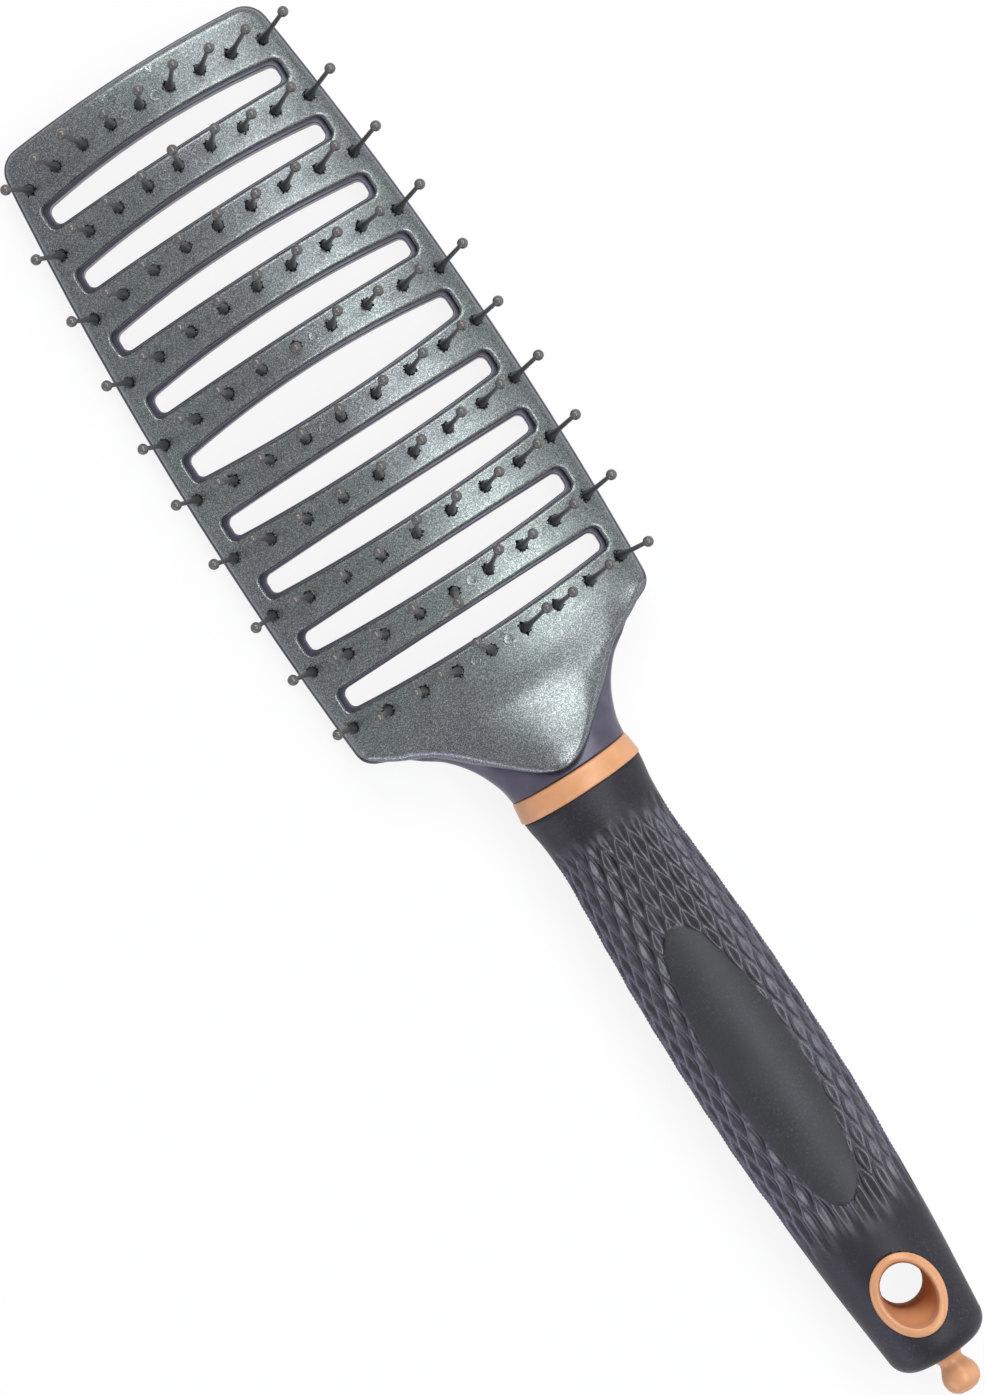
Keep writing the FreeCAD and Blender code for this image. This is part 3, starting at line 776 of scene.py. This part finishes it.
def combine(obj, other, operation):
    """Join a second closed mesh to the first, or cut it out, and remove it."""
    joined = obj.modifiers.new("combine", "BOOLEAN")
    joined.operation = operation
    joined.solver = "EXACT"
    joined.object = other
    graph = bpy.context.evaluated_depsgraph_get()
    mesh = bpy.data.meshes.new_from_object(obj.evaluated_get(graph))
    obj.modifiers.clear()
    obj.data = mesh
    bpy.data.objects.remove(other)
    for polygon in obj.data.polygons:
        polygon.use_smooth = True


# Materials


def new_material(name):
    material = bpy.data.materials.new(name)
    material.use_nodes = True
    tree = material.node_tree
    shader = tree.nodes["Principled BSDF"]
    return material, tree, shader


def fill(node, **settings):
    """Give a node's sockets their numbers and links; a socket's name has _ for each space."""
    for name, value in settings.items():
        socket = node.inputs[name.replace("_", " ")]
        if isinstance(value, bpy.types.NodeSocket):
            node.id_data.links.new(value, socket)
        else:
            socket.default_value = value
    return node.outputs[0]


def noise(tree, scale, detail):
    """Noise laid on the object, with its scale a metre."""
    place_on = tree.nodes.new("ShaderNodeTexCoord").outputs["Object"]
    return fill(tree.nodes.new("ShaderNodeTexNoise"), Scale=scale, Detail=detail, Vector=place_on)


def ramp(tree, source, *stops):
    """Colour for a number, from stops of a position and a colour."""
    node = tree.nodes.new("ShaderNodeValToRGB")
    elements = node.color_ramp.elements
    while len(elements) < len(stops):
        elements.new(0.5)
    for element, (position, colour) in zip(elements, stops):
        element.position = position
        element.color = (*colour, 1.0)
    return fill(node, Fac=source)


def map_range(tree, source, from_low, from_high, to_low, to_high):
    """Number moved from one range to another."""
    node = tree.nodes.new("ShaderNodeMapRange")
    return fill(node, Value=source, From_Min=from_low, From_Max=from_high, To_Min=to_low, To_Max=to_high)


def maths(tree, operation, first, second):
    """Sum, product or larger of a socket and a second socket or plain number."""
    node = tree.nodes.new("ShaderNodeMath")
    node.operation = operation
    tree.links.new(first, node.inputs[0])
    if isinstance(second, float):
        node.inputs[1].default_value = second
    else:
        tree.links.new(second, node.inputs[1])
    return node.outputs[0]


def attribute(tree, name="tone"):
    """Number that a mesh gives its points."""
    node = tree.nodes.new("ShaderNodeAttribute")
    node.attribute_name = name
    return node.outputs["Fac"]


def mix_colour(tree, share, first, second):
    """Blend of two colour sockets."""
    node = tree.nodes.new("ShaderNodeMix")
    node.data_type = "RGBA"
    fill(node, Factor=share, A=first, B=second)
    return node.outputs["Result"]


def grain(tree, source, strength, distance_mm):
    """Fine relief for a shader's normal."""
    node = tree.nodes.new("ShaderNodeBump")
    return fill(node, Height=source, Strength=strength, Distance=distance_mm * MM)


def face_coat():
    """Dark metallic coat of the face: fine flakes over a slow change of tint."""
    material, tree, shader = new_material("face_coat")
    flakes = noise(tree, 5400.0, 2.0)
    dark = ramp(
        tree, flakes,
        (0.35, (0.066, 0.072, 0.080)), (0.50, (0.116, 0.127, 0.138)), (0.66, (0.290, 0.308, 0.318)),
    )
    light = ramp(
        tree, flakes,
        (0.35, (0.078, 0.090, 0.089)), (0.50, (0.134, 0.156, 0.154)), (0.66, (0.320, 0.354, 0.346)),
    )
    slow = map_range(tree, noise(tree, 38.0, 2.0), 0.35, 0.65, 0.0, 1.0)
    fill(
        shader,
        Base_Color=mix_colour(tree, slow, dark, light),
        Metallic=0.7,
        Roughness=map_range(tree, noise(tree, 1500.0, 3.0), 0.3, 0.7, 0.26, 0.36),
        Normal=grain(tree, flakes, 0.14, 0.015),
    )
    return material


def frame_coat():
    """Smooth lavender grey of the frame and neck."""
    material, tree, shader = new_material("frame_plastic")
    cloud = noise(tree, 260.0, 4.0)
    fill(
        shader,
        Base_Color=ramp(tree, cloud, (0.30, (0.070, 0.063, 0.096)), (0.70, (0.102, 0.094, 0.136))),
        Metallic=0.3,
        Roughness=map_range(tree, cloud, 0.3, 0.7, 0.30, 0.40),
        Normal=grain(tree, noise(tree, 2400.0, 2.0), 0.10, 0.015),
    )
    return material


def pin_plastic():
    """Painted shade near black on the collars and root, and painted light greying the shaft and ball going
    up; glossy collar and ball, dull shaft.
    """
    material, tree, shader = new_material("pin_plastic")
    tone = attribute(tree)
    # Painted shade and light by tone: near black at the collar and root, lighter up the shaft to the ball, as
    # if lit from above
    tint = ramp(
        tree, tone,
        (0.0, (0.005, 0.005, 0.006)), (0.10, (0.026, 0.026, 0.026)),
        (0.45, (0.062, 0.062, 0.061)), (0.95, (0.128, 0.124, 0.119)),
    )
    cloud = noise(tree, 1400.0, 3.0)
    # Lighter cloudy tone, mixed in more towards the ball: more painted light at the top
    painted_light_tone = ramp(tree, cloud, (0.30, (0.030, 0.029, 0.028)), (0.70, (0.105, 0.101, 0.097)))
    dull = ramp(
        tree, tone,
        (0.0, (0.12, 0.12, 0.12)), (0.08, (0.40, 0.40, 0.40)),
        (0.84, (0.40, 0.40, 0.40)), (0.90, (0.13, 0.13, 0.13)),
    )
    share = maths(tree, "MULTIPLY", tone, 0.35)
    fill(shader, Base_Color=mix_colour(tree, share, tint, painted_light_tone), Roughness=dull)
    return material


def grip_rubber():
    """Black rubber with a dusty bloom and a lavender painted sheen on the ridges, strongest at the handle's
    sides; the bare panel is a little greyer.
    """
    material, tree, shader = new_material("grip_rubber")
    cloud = noise(tree, 120.0, 5.0)
    net = ramp(tree, cloud, (0.28, (0.006, 0.0057, 0.007)), (0.72, (0.014, 0.0135, 0.016)))
    # Lavender painted sheen for the ridges, in place of side light caught at the handle's flanks
    painted_light_tone = ramp(tree, cloud, (0.28, (0.080, 0.076, 0.108)), (0.72, (0.130, 0.124, 0.168)))
    panel = ramp(tree, cloud, (0.28, (0.022, 0.023, 0.024)), (0.72, (0.031, 0.032, 0.033)))
    netted = mix_colour(tree, attribute(tree, "ridge"), net, painted_light_tone)
    bare = mix_colour(tree, attribute(tree), netted, panel)
    dust = noise(tree, 2600.0, 5.0)
    specks = map_range(tree, dust, 0.50, 0.72, 0.0, 1.0)
    patches = map_range(tree, noise(tree, 90.0, 3.0), 0.35, 0.7, 0.08, 0.35)
    bloom = ramp(tree, dust, (0.4, (0.050, 0.048, 0.060)), (0.7, (0.105, 0.102, 0.125)))
    hollow = attribute(tree, "net")
    dull = map_range(tree, hollow, 0.0, 1.0, 0.50, 0.33)
    uneven = map_range(tree, cloud, 0.3, 0.7, -0.04, 0.06)
    fill(
        shader,
        Base_Color=mix_colour(tree, maths(tree, "MULTIPLY", specks, patches), bare, bloom),
        Roughness=maths(tree, "ADD", dull, uneven),
        Specular_IOR_Level=map_range(tree, hollow, 0.0, 1.0, 0.36, 0.70),
        Specular_Tint=(0.90, 0.88, 1.0, 1.0),
        Sheen_Weight=0.12,
        Sheen_Roughness=0.35,
        Sheen_Tint=(0.74, 0.70, 1.0, 1.0),
        Normal=grain(tree, noise(tree, 3200.0, 3.0), 0.16, 0.02),
    )
    return material


def copper_coat():
    """Peach copper coat, satin, with faint clouding; dull as moulded inside the bore."""
    material, tree, shader = new_material("copper_coat")
    cloud = noise(tree, 300.0, 3.0)
    bore = attribute(tree)
    satin = map_range(tree, cloud, 0.3, 0.7, 0.30, 0.40)
    dull = map_range(tree, bore, 0.0, 1.0, 0.3, 0.85)
    fill(
        shader,
        Base_Color=ramp(tree, cloud, (0.30, (0.64, 0.310, 0.150)), (0.70, (0.72, 0.360, 0.185))),
        Metallic=0.04,
        Roughness=maths(tree, "MAXIMUM", satin, dull),
        Specular_IOR_Level=map_range(tree, bore, 0.0, 1.0, 0.35, 0.02),
        Normal=grain(tree, noise(tree, 1800.0, 2.0), 0.06, 0.01),
    )
    return material


# Pieces


def make_face_plate(material):
    holes = [slot_outline(slot, 0.0, 0.0) for slot in range(1, ROWS)]
    rounds = (PLATE_ROUND, PLATE_SLOT_ROUND, UNDER_ROUND)
    plate = slab("face_plate", plate_outline(), holes, plate_top, plate_bottom, rounds, PLATE_SPACING)
    place(plate, material, "face_coat", "front_plate")


def neck_ring(y):
    """Upright section of the neck."""
    half, low, high = neck_at(y)
    middle, rise = (low + high) / 2, (high - low) / 2
    return [(half * math.cos(turn), y, middle + rise * math.sin(turn)) for turn in turns(NECK_SIDES)]


def rail_folds():
    """Upper and lower edge of each rail's inner wall."""
    foot_gap, tip_gap = FOLD_END_GAPS
    ys = np.linspace(HEAD_FOOT_Y + foot_gap, HEAD_TIP_Y - tip_gap, FOLD_STEPS)
    folds = []
    for side in (-1, 1):
        for draft in (0.0, RAIL_DRAFT):
            folds.append(np.stack([side * (rail_line(ys) + draft), ys], axis=1))
    return folds


def make_frame_shell(material):
    """Head with its slots, joined to a neck whose sections lean with the ring where they meet it."""
    holes = [slot_outline(slot, SLOT_LEDGE, SLOT_END_LEDGE) for slot in range(1, ROWS)]
    rounds = (FRAME_ROUND, FRAME_ROUND, UNDER_ROUND)
    outline = frame_outline()
    folds = rail_folds()
    head = slab("frame_shell", outline, holes, top_height, frame_bottom, rounds, FRAME_SPACING, folds)
    end_y = RING_Y + RING_LENGTH / 2 + SEAT_GAP
    rings = []
    for k in range(NECK_STEPS + 1):
        ring = neck_ring(NECK_START_Y + (end_y - NECK_START_Y) * k / NECK_STEPS)
        lean = smooth_step(NECK_LEAN_FROM, 1.0, k / NECK_STEPS) * math.tan(RING_LEAN)
        rings.append([(x, y - (z - HANDLE_AXIS_Z) * lean, z) for x, y, z in ring])
    combine(head, add_mesh("neck", *loft_rings(rings)), "UNION")
    place(head, material, "frame_plastic", "back_frame")


def on_face(foot, radius, turn, rise):
    """Point round a foot, at a height above the plate's skin."""
    x = foot[0] + radius * math.cos(turn)
    y = foot[1] + radius * math.sin(turn)
    return x, y, float(plate_top(np.array(x), np.array(y))) + rise


def make_pegs(material):
    """Ends of the pegs, flush in the plate."""
    points, faces = [], []
    for row, side in PEGS:
        foot = row_point(row, side / (PINS_PER_ROW - 1))
        rings = []
        for radius, sink in PEG_STEPS:
            rings.append([on_face(foot, radius, turn, -sink) for turn in turns(PEG_SIDES)])
        append_shape(points, faces, *loft_to_point(rings[:-1], rings[-1][0]))
    place(add_mesh("peg_ends", points, faces), material, "face_coat")


def pin_frame(row, pin):
    """Foot of a pin on the face and the way it leans."""
    bend_x, bend_y = BENT_PINS.get((row, pin), (0.0, 0.0))
    middle = (PINS_PER_ROW + 1) / 2
    lean_x = PIN_SWEEP + PIN_FAN * (pin - middle) + bend_x
    lean_y = PIN_FORWARD + bend_y
    rise = math.sqrt(PIN_LENGTH ** 2 - lean_x ** 2 - lean_y ** 2)
    foot = row_point(row, (pin - middle) / (middle - 1))
    return Vector(foot), Vector((lean_x, lean_y, rise)).normalized()


def pin_profile():
    """Distance along the pin and radius, from the sunk root to the top of the ball."""
    ball = PIN_LENGTH - PIN_BALL_RADIUS
    join = math.sqrt(PIN_BALL_RADIUS ** 2 - PIN_NECK_RADIUS ** 2)
    stations = list(PIN_FLARE)
    stations.append((ball - join - PIN_WAIST_GAP, PIN_WAIST_RADIUS))
    low = -math.acos(PIN_NECK_RADIUS / PIN_BALL_RADIUS)
    for k in range(PIN_BALL_STEPS + 1):
        turn = low + (math.pi / 2 - low) * k / PIN_BALL_STEPS
        radius = max(PIN_BALL_RADIUS * math.cos(turn), PIN_POLE_RADIUS)
        stations.append((ball + PIN_BALL_RADIUS * math.sin(turn), radius))
    return stations


def pin_collar(foot, luck):
    """Ragged rim of plastic pressed out round a root, with small spikes and a nib at each side."""
    ragged = [luck.uniform(-COLLAR_RAG, COLLAR_RAG) for _ in range(COLLAR_SIDES)]
    for _ in range(COLLAR_SPIKES):
        spike = luck.randrange(COLLAR_SIDES)
        ragged[spike] = luck.uniform(*COLLAR_SPIKE_REACH)
    rough = [luck.uniform(*COLLAR_ROUGHNESS) for _ in range(COLLAR_SIDES)]
    rings = []
    for inward, rise, loose in COLLAR_RINGS:
        ring = []
        for i, turn in enumerate(turns(COLLAR_SIDES)):
            radius = COLLAR_RADIUS + ragged[i] * (1 - inward) - inward
            for nib, size in COLLAR_NIBS:
                radius += size * max(0.0, math.cos(turn - nib)) ** COLLAR_NIB_SHARPNESS
            ring.append(on_face(foot, radius, turn, rise + rough[i] * loose))
        rings.append(ring)
    return loft_rings(rings)


def make_pin_row(row, material):
    """Nine pins and their collars in one mesh, with a tone that runs from root to ball and carries the
    painted shade and light.
    """
    points, faces, tones = [], [], []
    crisp = set()
    luck = random.Random(row)
    profile = pin_profile()
    for pin in range(1, PINS_PER_ROW + 1):
        foot, way = pin_frame(row, pin)
        across = way.cross(Vector((0, 1, 0))).normalized()
        along = across.cross(way).normalized()
        rings = []
        for distance, radius in profile:
            centre = foot + way * distance
            ring = []
            for turn in turns(PIN_SIDES):
                ring.append(centre + across * (radius * math.cos(turn)) - along * (radius * math.sin(turn)))
            rings.append(ring)
            tones += [min(1.0, max(0.0, distance / PIN_LENGTH))] * PIN_SIDES
        append_shape(points, faces, *loft_rings(rings))
        collar, shape = pin_collar(foot, luck)
        crisp.update(range(len(points), len(points) + len(collar)))
        tones += [0.0] * len(collar)
        append_shape(points, faces, collar, shape)
    pins = add_mesh("pins_row_%02d_fine" % row, points, faces)
    add_tone(pins, tones)
    for polygon, shape in zip(pins.data.polygons, faces):
        polygon.use_smooth = shape[0] not in crisp
    place(pins, material, "pin_plastic", "pins_row_%02d" % row)


def oval_ring(y, half, flatness, sides, lean):
    """Section across the handle, leaning about the axis."""
    ring = []
    for turn in turns(sides):
        z = flatness * half * math.sin(turn)
        ring.append((half * math.cos(turn), y - z * math.tan(lean), HANDLE_AXIS_Z + z))
    return ring


def make_ring(material):
    """Collar with softly rounded edges."""
    front, rear = RING_FRONT_HALF_WIDTH, RING_REAR_HALF_WIDTH
    widths = {1: front, 0: (front + rear) / 2, -1: rear}
    rings = []
    for end, inward, offset in RING_SECTION:
        y = RING_Y + end * (RING_LENGTH / 2 - inward)
        rings.append(oval_ring(y, widths[end] + offset, RING_FLATNESS, RING_SIDES, RING_LEAN))
    place(add_mesh("ring_collar", *loft_tube(rings)), material, "copper_coat", "ring")


def handle_half(y):
    """Half width of the handle, with its rounded end."""
    ys, halves = zip(*HANDLE_SECTIONS)
    half = spline_at(ys, halves, np.maximum(y, ys[-1]))
    past = np.clip((ys[-1] - y) / HANDLE_END_ROUND, 0.0, 1.0)
    return half - HANDLE_END_ROUND * (1 - np.sqrt(1 - past ** 2))


def panel_share(x, y):
    """1 outside the bare oval panel and 0 inside it."""
    half = PANEL_HALF_WIDTH - PANEL_SIDE_RADIUS + np.sqrt(PANEL_SIDE_RADIUS ** 2 - (y - PANEL_Y) ** 2)
    reach = PANEL_HALF_LENGTH - np.abs(y - PANEL_Y)
    cap = np.where(reach < PANEL_CAP, np.sqrt(np.clip(1 - (1 - reach / PANEL_CAP) ** 2, 0, 1)), 1.0)
    cap = np.where(reach < 0, 0.0, cap)
    beyond = np.where(reach < 0, PANEL_BEYOND, 0.0)
    return smooth_step(-PANEL_EDGE, PANEL_EDGE, np.abs(x) - half * cap + beyond)


def net_depth(turn, y, x, z):
    """Depth of the net's hollows below the ridges, and shares of the panel, of the ridges' painted sheen and
    of the net.
    """
    u = turn / (2 * math.pi) * NET_COLUMNS
    v = np.clip(y / NET_CELL, NET_LAST_CELL, NET_FIRST_CELL)
    p, q = u + v, u - v
    across, along = p - np.round(p), q - np.round(q)
    edge = 2 * np.maximum(np.abs(across), np.abs(along))
    cell = np.clip(np.cos(math.pi * across) * np.cos(math.pi * along), 0.0, 1.0) ** NET_FULLNESS
    fade = smooth_step(-NET_FADE_IN[0], -NET_FADE_IN[1], -y)
    fade = fade * (1 - smooth_step(-NET_FADE_OUT[0], -NET_FADE_OUT[1], -y))
    bare = np.where(z > HANDLE_AXIS_Z, panel_share(x, y), 1.0)
    # Painted sheen on the ridges: full at the handle's sides, a trace on top
    painted_sheen_share = NET_PAINTED_SHEEN_ON_TOP + (1 - NET_PAINTED_SHEEN_ON_TOP) * smooth_step(*NET_PAINTED_SHEEN_SIDES, np.abs(np.cos(turn)))
    ridge = smooth_step(*NET_RIDGE, edge) * fade * bare * painted_sheen_share
    return NET_DEPTH * cell * fade * bare - PANEL_PROUD * (1 - bare), 1 - bare, ridge, fade * bare


def grip_stations():
    """Places of the rings along the grip, closer together where the net is."""
    pitch = NET_CELL / (2 * STEPS_PER_COLUMN)
    first = RING_Y - RING_LENGTH / 2 - SEAT_GAP
    last = HANDLE_SECTIONS[-1][0]
    stations = [first]
    y = math.floor((first - GRIP_LEAD) / pitch) * pitch
    while y > last:
        stations.append(y)
        y -= pitch if NET_FADE_IN[0] > y > NET_FADE_OUT[1] else 2 * pitch
    for k in range(HANDLE_END_STEPS + 1):
        stations.append(last - HANDLE_END_ROUND * math.sin(math.pi / 2 * k / HANDLE_END_STEPS))
    return stations


def make_grip(material):
    """Rubber sleeve: a fine grid round the handle, with the net pressed into it."""
    around = NET_COLUMNS * STEPS_PER_COLUMN
    angles = 2 * math.pi * np.arange(around) / around
    stations = grip_stations()
    rings, panel, ridges, nets = [], [], [], []
    for y in stations:
        half = float(handle_half(np.array(y)))
        x = half * np.cos(angles)
        z = HANDLE_AXIS_Z + HANDLE_FLATNESS * half * np.sin(angles)
        depth, on_panel, on_ridge, on_net = net_depth(angles, np.full(around, y), x, z)
        panel += list(on_panel)
        ridges += list(on_ridge)
        nets += list(on_net)
        nx, nz = HANDLE_FLATNESS * np.cos(angles), np.sin(angles)
        size = np.hypot(nx, nz)
        lean = smooth_step(stations[0] - GRIP_LEAN_REACH, stations[0], np.array(y)) * math.tan(RING_LEAN)
        at_y = y - (z - HANDLE_AXIS_Z) * lean
        rings.append(np.stack([x - depth * nx / size, at_y, z - depth * nz / size], axis=1))
    grip = add_mesh("grip_sleeve", *loft_rings(rings))
    add_tone(grip, panel)
    add_tone(grip, ridges, "ridge")
    add_tone(grip, nets, "net")
    step_z = EYELET_RIM_Z - SEAT_GAP
    cutter = [level_oval(EYELET_BARREL, EYELET_Y, z) for z in (CUTTER_LOW_Z, step_z)]
    cutter += [level_oval(EYELET_RIM, EYELET_Y, z) for z in (step_z, CUTTER_HIGH_Z)]
    combine(grip, add_mesh("cutter", *loft_rings(cutter)), "DIFFERENCE")
    place(grip, material, "grip_rubber", "grip")


def level_oval(halves, centre_y, z):
    """Level oval across the handle."""
    ring = []
    for turn in turns(EYELET_SIDES):
        ring.append((halves[0] * math.cos(turn), centre_y + halves[1] * math.sin(turn), z))
    return ring


def handle_skin(x, y, proud):
    """Levels of the handle's upper and lower surface at a place."""
    half = float(handle_half(np.array(y))) + proud
    middle_rise = HANDLE_FLATNESS * half + (1 - HANDLE_FLATNESS) * proud
    rise = middle_rise * math.sqrt(max(0.0, 1 - (x / half) ** 2))
    return HANDLE_AXIS_Z + rise, HANDLE_AXIS_Z - rise


def skin_oval(halves, proud, side, centre_y=EYELET_Y):
    """Oval that lies on the handle's upper (0) or lower (1) skin."""
    return [(x, y, handle_skin(x, y, proud)[side]) for x, y, z in level_oval(halves, centre_y, 0.0)]


def shrink(halves, by):
    return halves[0] - by, halves[1] - by


def make_eyelet(material):
    """Oval rim proud of the rubber, a stepped mouth, and a funnel down to a round bore."""
    rings = [
        skin_oval(EYELET_BARREL, -EYELET_SUNK, 1),
        level_oval(EYELET_BARREL, EYELET_Y, EYELET_RIM_Z),
        level_oval(EYELET_RIM, EYELET_Y, EYELET_RIM_Z),
    ]
    rings += [skin_oval(shrink(EYELET_RIM, inset), proud, 0) for inset, proud in EYELET_LIP]
    bright = len(rings)
    mouth = shrink(EYELET_RIM, EYELET_MOUTH_INSET)
    for k in range(EYELET_STEPS + 1):
        share = k / EYELET_STEPS
        halves = [a + (b - a) * share for a, b in zip(mouth, EYELET_BORE)]
        centre_y = EYELET_Y + (EYELET_BORE_Y - EYELET_Y) * share
        z = EYELET_POCKET_Z + (EYELET_BORE_TOP_Z - EYELET_POCKET_Z) * share
        rings.append(level_oval(halves, centre_y, z))
    rings.append(skin_oval(EYELET_BORE, -EYELET_SUNK, 1, EYELET_BORE_Y))
    eyelet = add_mesh("eyelet_trim", *loft_tube(rings))
    tones = []
    for k, ring in enumerate(rings):
        tones += [1.0 if k >= bright else 0.0] * len(ring)
    add_tone(eyelet, tones)
    outward_faces(eyelet)
    place(eyelet, material, "copper_coat", "eyelet")


def make_knob(material):
    """Turned knob with a stem in the grip and a round tip."""
    rings = []
    for radius, back in KNOB_PROFILE[:-1]:
        rings.append(oval_ring(KNOB_BASE_Y - back, radius, 1.0, KNOB_SIDES, 0.0))
    tip = (0.0, KNOB_BASE_Y - KNOB_PROFILE[-1][1], HANDLE_AXIS_Z)
    knob = add_mesh("knob_turned", *loft_to_point(rings, tip))
    outward_faces(knob)
    place(knob, material, "copper_coat", "tail_knob")


# Camera, floor and light


def make_camera():
    data = bpy.data.cameras.new("camera")
    data.sensor_width = SENSOR_MM
    data.lens = SENSOR_MM * VIEW_DISTANCE * PX_PER_MM / FRAME_HEIGHT_PX
    data.clip_end = VIEW_REACH_M
    camera = bpy.data.objects.new("camera", data)
    camera.location = (VIEW_CENTRE[0] * MM, VIEW_CENTRE[1] * MM, (HANDLE_AXIS_Z + VIEW_DISTANCE) * MM)
    camera.rotation_euler = (0.0, 0.0, VIEW_TURN)
    bpy.context.scene.collection.objects.link(camera)
    bpy.context.scene.camera = camera


def show_white(tree, whiteness, lit, white, output):
    """Show white to the camera and to mirrors and glass, in place of what lights the scene."""
    path = tree.nodes.new("ShaderNodeLightPath").outputs
    seen = maths(tree, "MAXIMUM", path["Is Camera Ray"], path["Is Glossy Ray"])
    seen = maths(tree, "MAXIMUM", seen, path["Is Transmission Ray"])
    mix = tree.nodes.new("ShaderNodeMixShader")
    tree.links.new(lit.outputs[0], mix.inputs[1])
    tree.links.new(white.outputs[0], mix.inputs[2])
    shown = fill(mix, Fac=maths(tree, "MULTIPLY", seen, whiteness))
    tree.links.new(shown, tree.nodes[output].inputs["Surface"])


def make_floor():
    half = FLOOR_HALF
    corners = [(-half, -half, 0), (half, -half, 0), (half, half, 0), (-half, half, 0)]
    floor = add_mesh("floor", corners, [(0, 1, 2, 3)], smooth=False)
    material, tree, shader = new_material("floor")
    tint = ramp(tree, noise(tree, 3.0, 2.0), (0.3, (0.88, 0.88, 0.885)), (0.7, (0.91, 0.91, 0.91)))
    fill(shader, Base_Color=tint, Roughness=0.9, Specular_IOR_Level=0.1)
    show_white(tree, FLOOR_WHITENESS, shader, tree.nodes.new("ShaderNodeEmission"), "Material Output")
    floor.data.materials.append(material)


def area_light(name, place_mm, aim_mm, size, energy, colour):
    data = bpy.data.lights.new(name, "AREA")
    data.shape = "RECTANGLE"
    data.size, data.size_y = size
    data.energy = energy
    data.color = colour
    lamp = bpy.data.objects.new(name, data)
    lamp.location = [v * MM for v in place_mm]
    way = Vector([(b - a) for a, b in zip(place_mm, aim_mm)])
    lamp.rotation_euler = way.to_track_quat("-Z", "Y").to_euler()
    bpy.context.scene.collection.objects.link(lamp)


def make_light():
    world = bpy.data.worlds.new("studio")
    bpy.context.scene.world = world
    world.use_nodes = True
    tree = world.node_tree
    lit = tree.nodes["Background"]
    fill(lit, Color=(1.0, 1.0, 1.0, 1.0), Strength=WORLD_STRENGTH)
    show_white(tree, WORLD_WHITENESS, lit, tree.nodes.new("ShaderNodeBackground"), "World Output")
    for name, setting in LAMPS.items():
        area_light(name, *setting)


def main():
    face = face_coat()
    plastic = frame_coat()
    pins = pin_plastic()
    rubber = grip_rubber()
    copper = copper_coat()
    make_face_plate(face)
    make_frame_shell(plastic)
    make_pegs(face)
    for row in range(1, ROWS + 1):
        make_pin_row(row, pins)
    make_ring(copper)
    make_grip(rubber)
    make_eyelet(copper)
    make_knob(copper)


make_camera()
make_floor()
make_light()
main()
bpy.context.scene.view_settings.view_transform = "Standard"
bpy.context.view_layer.update()
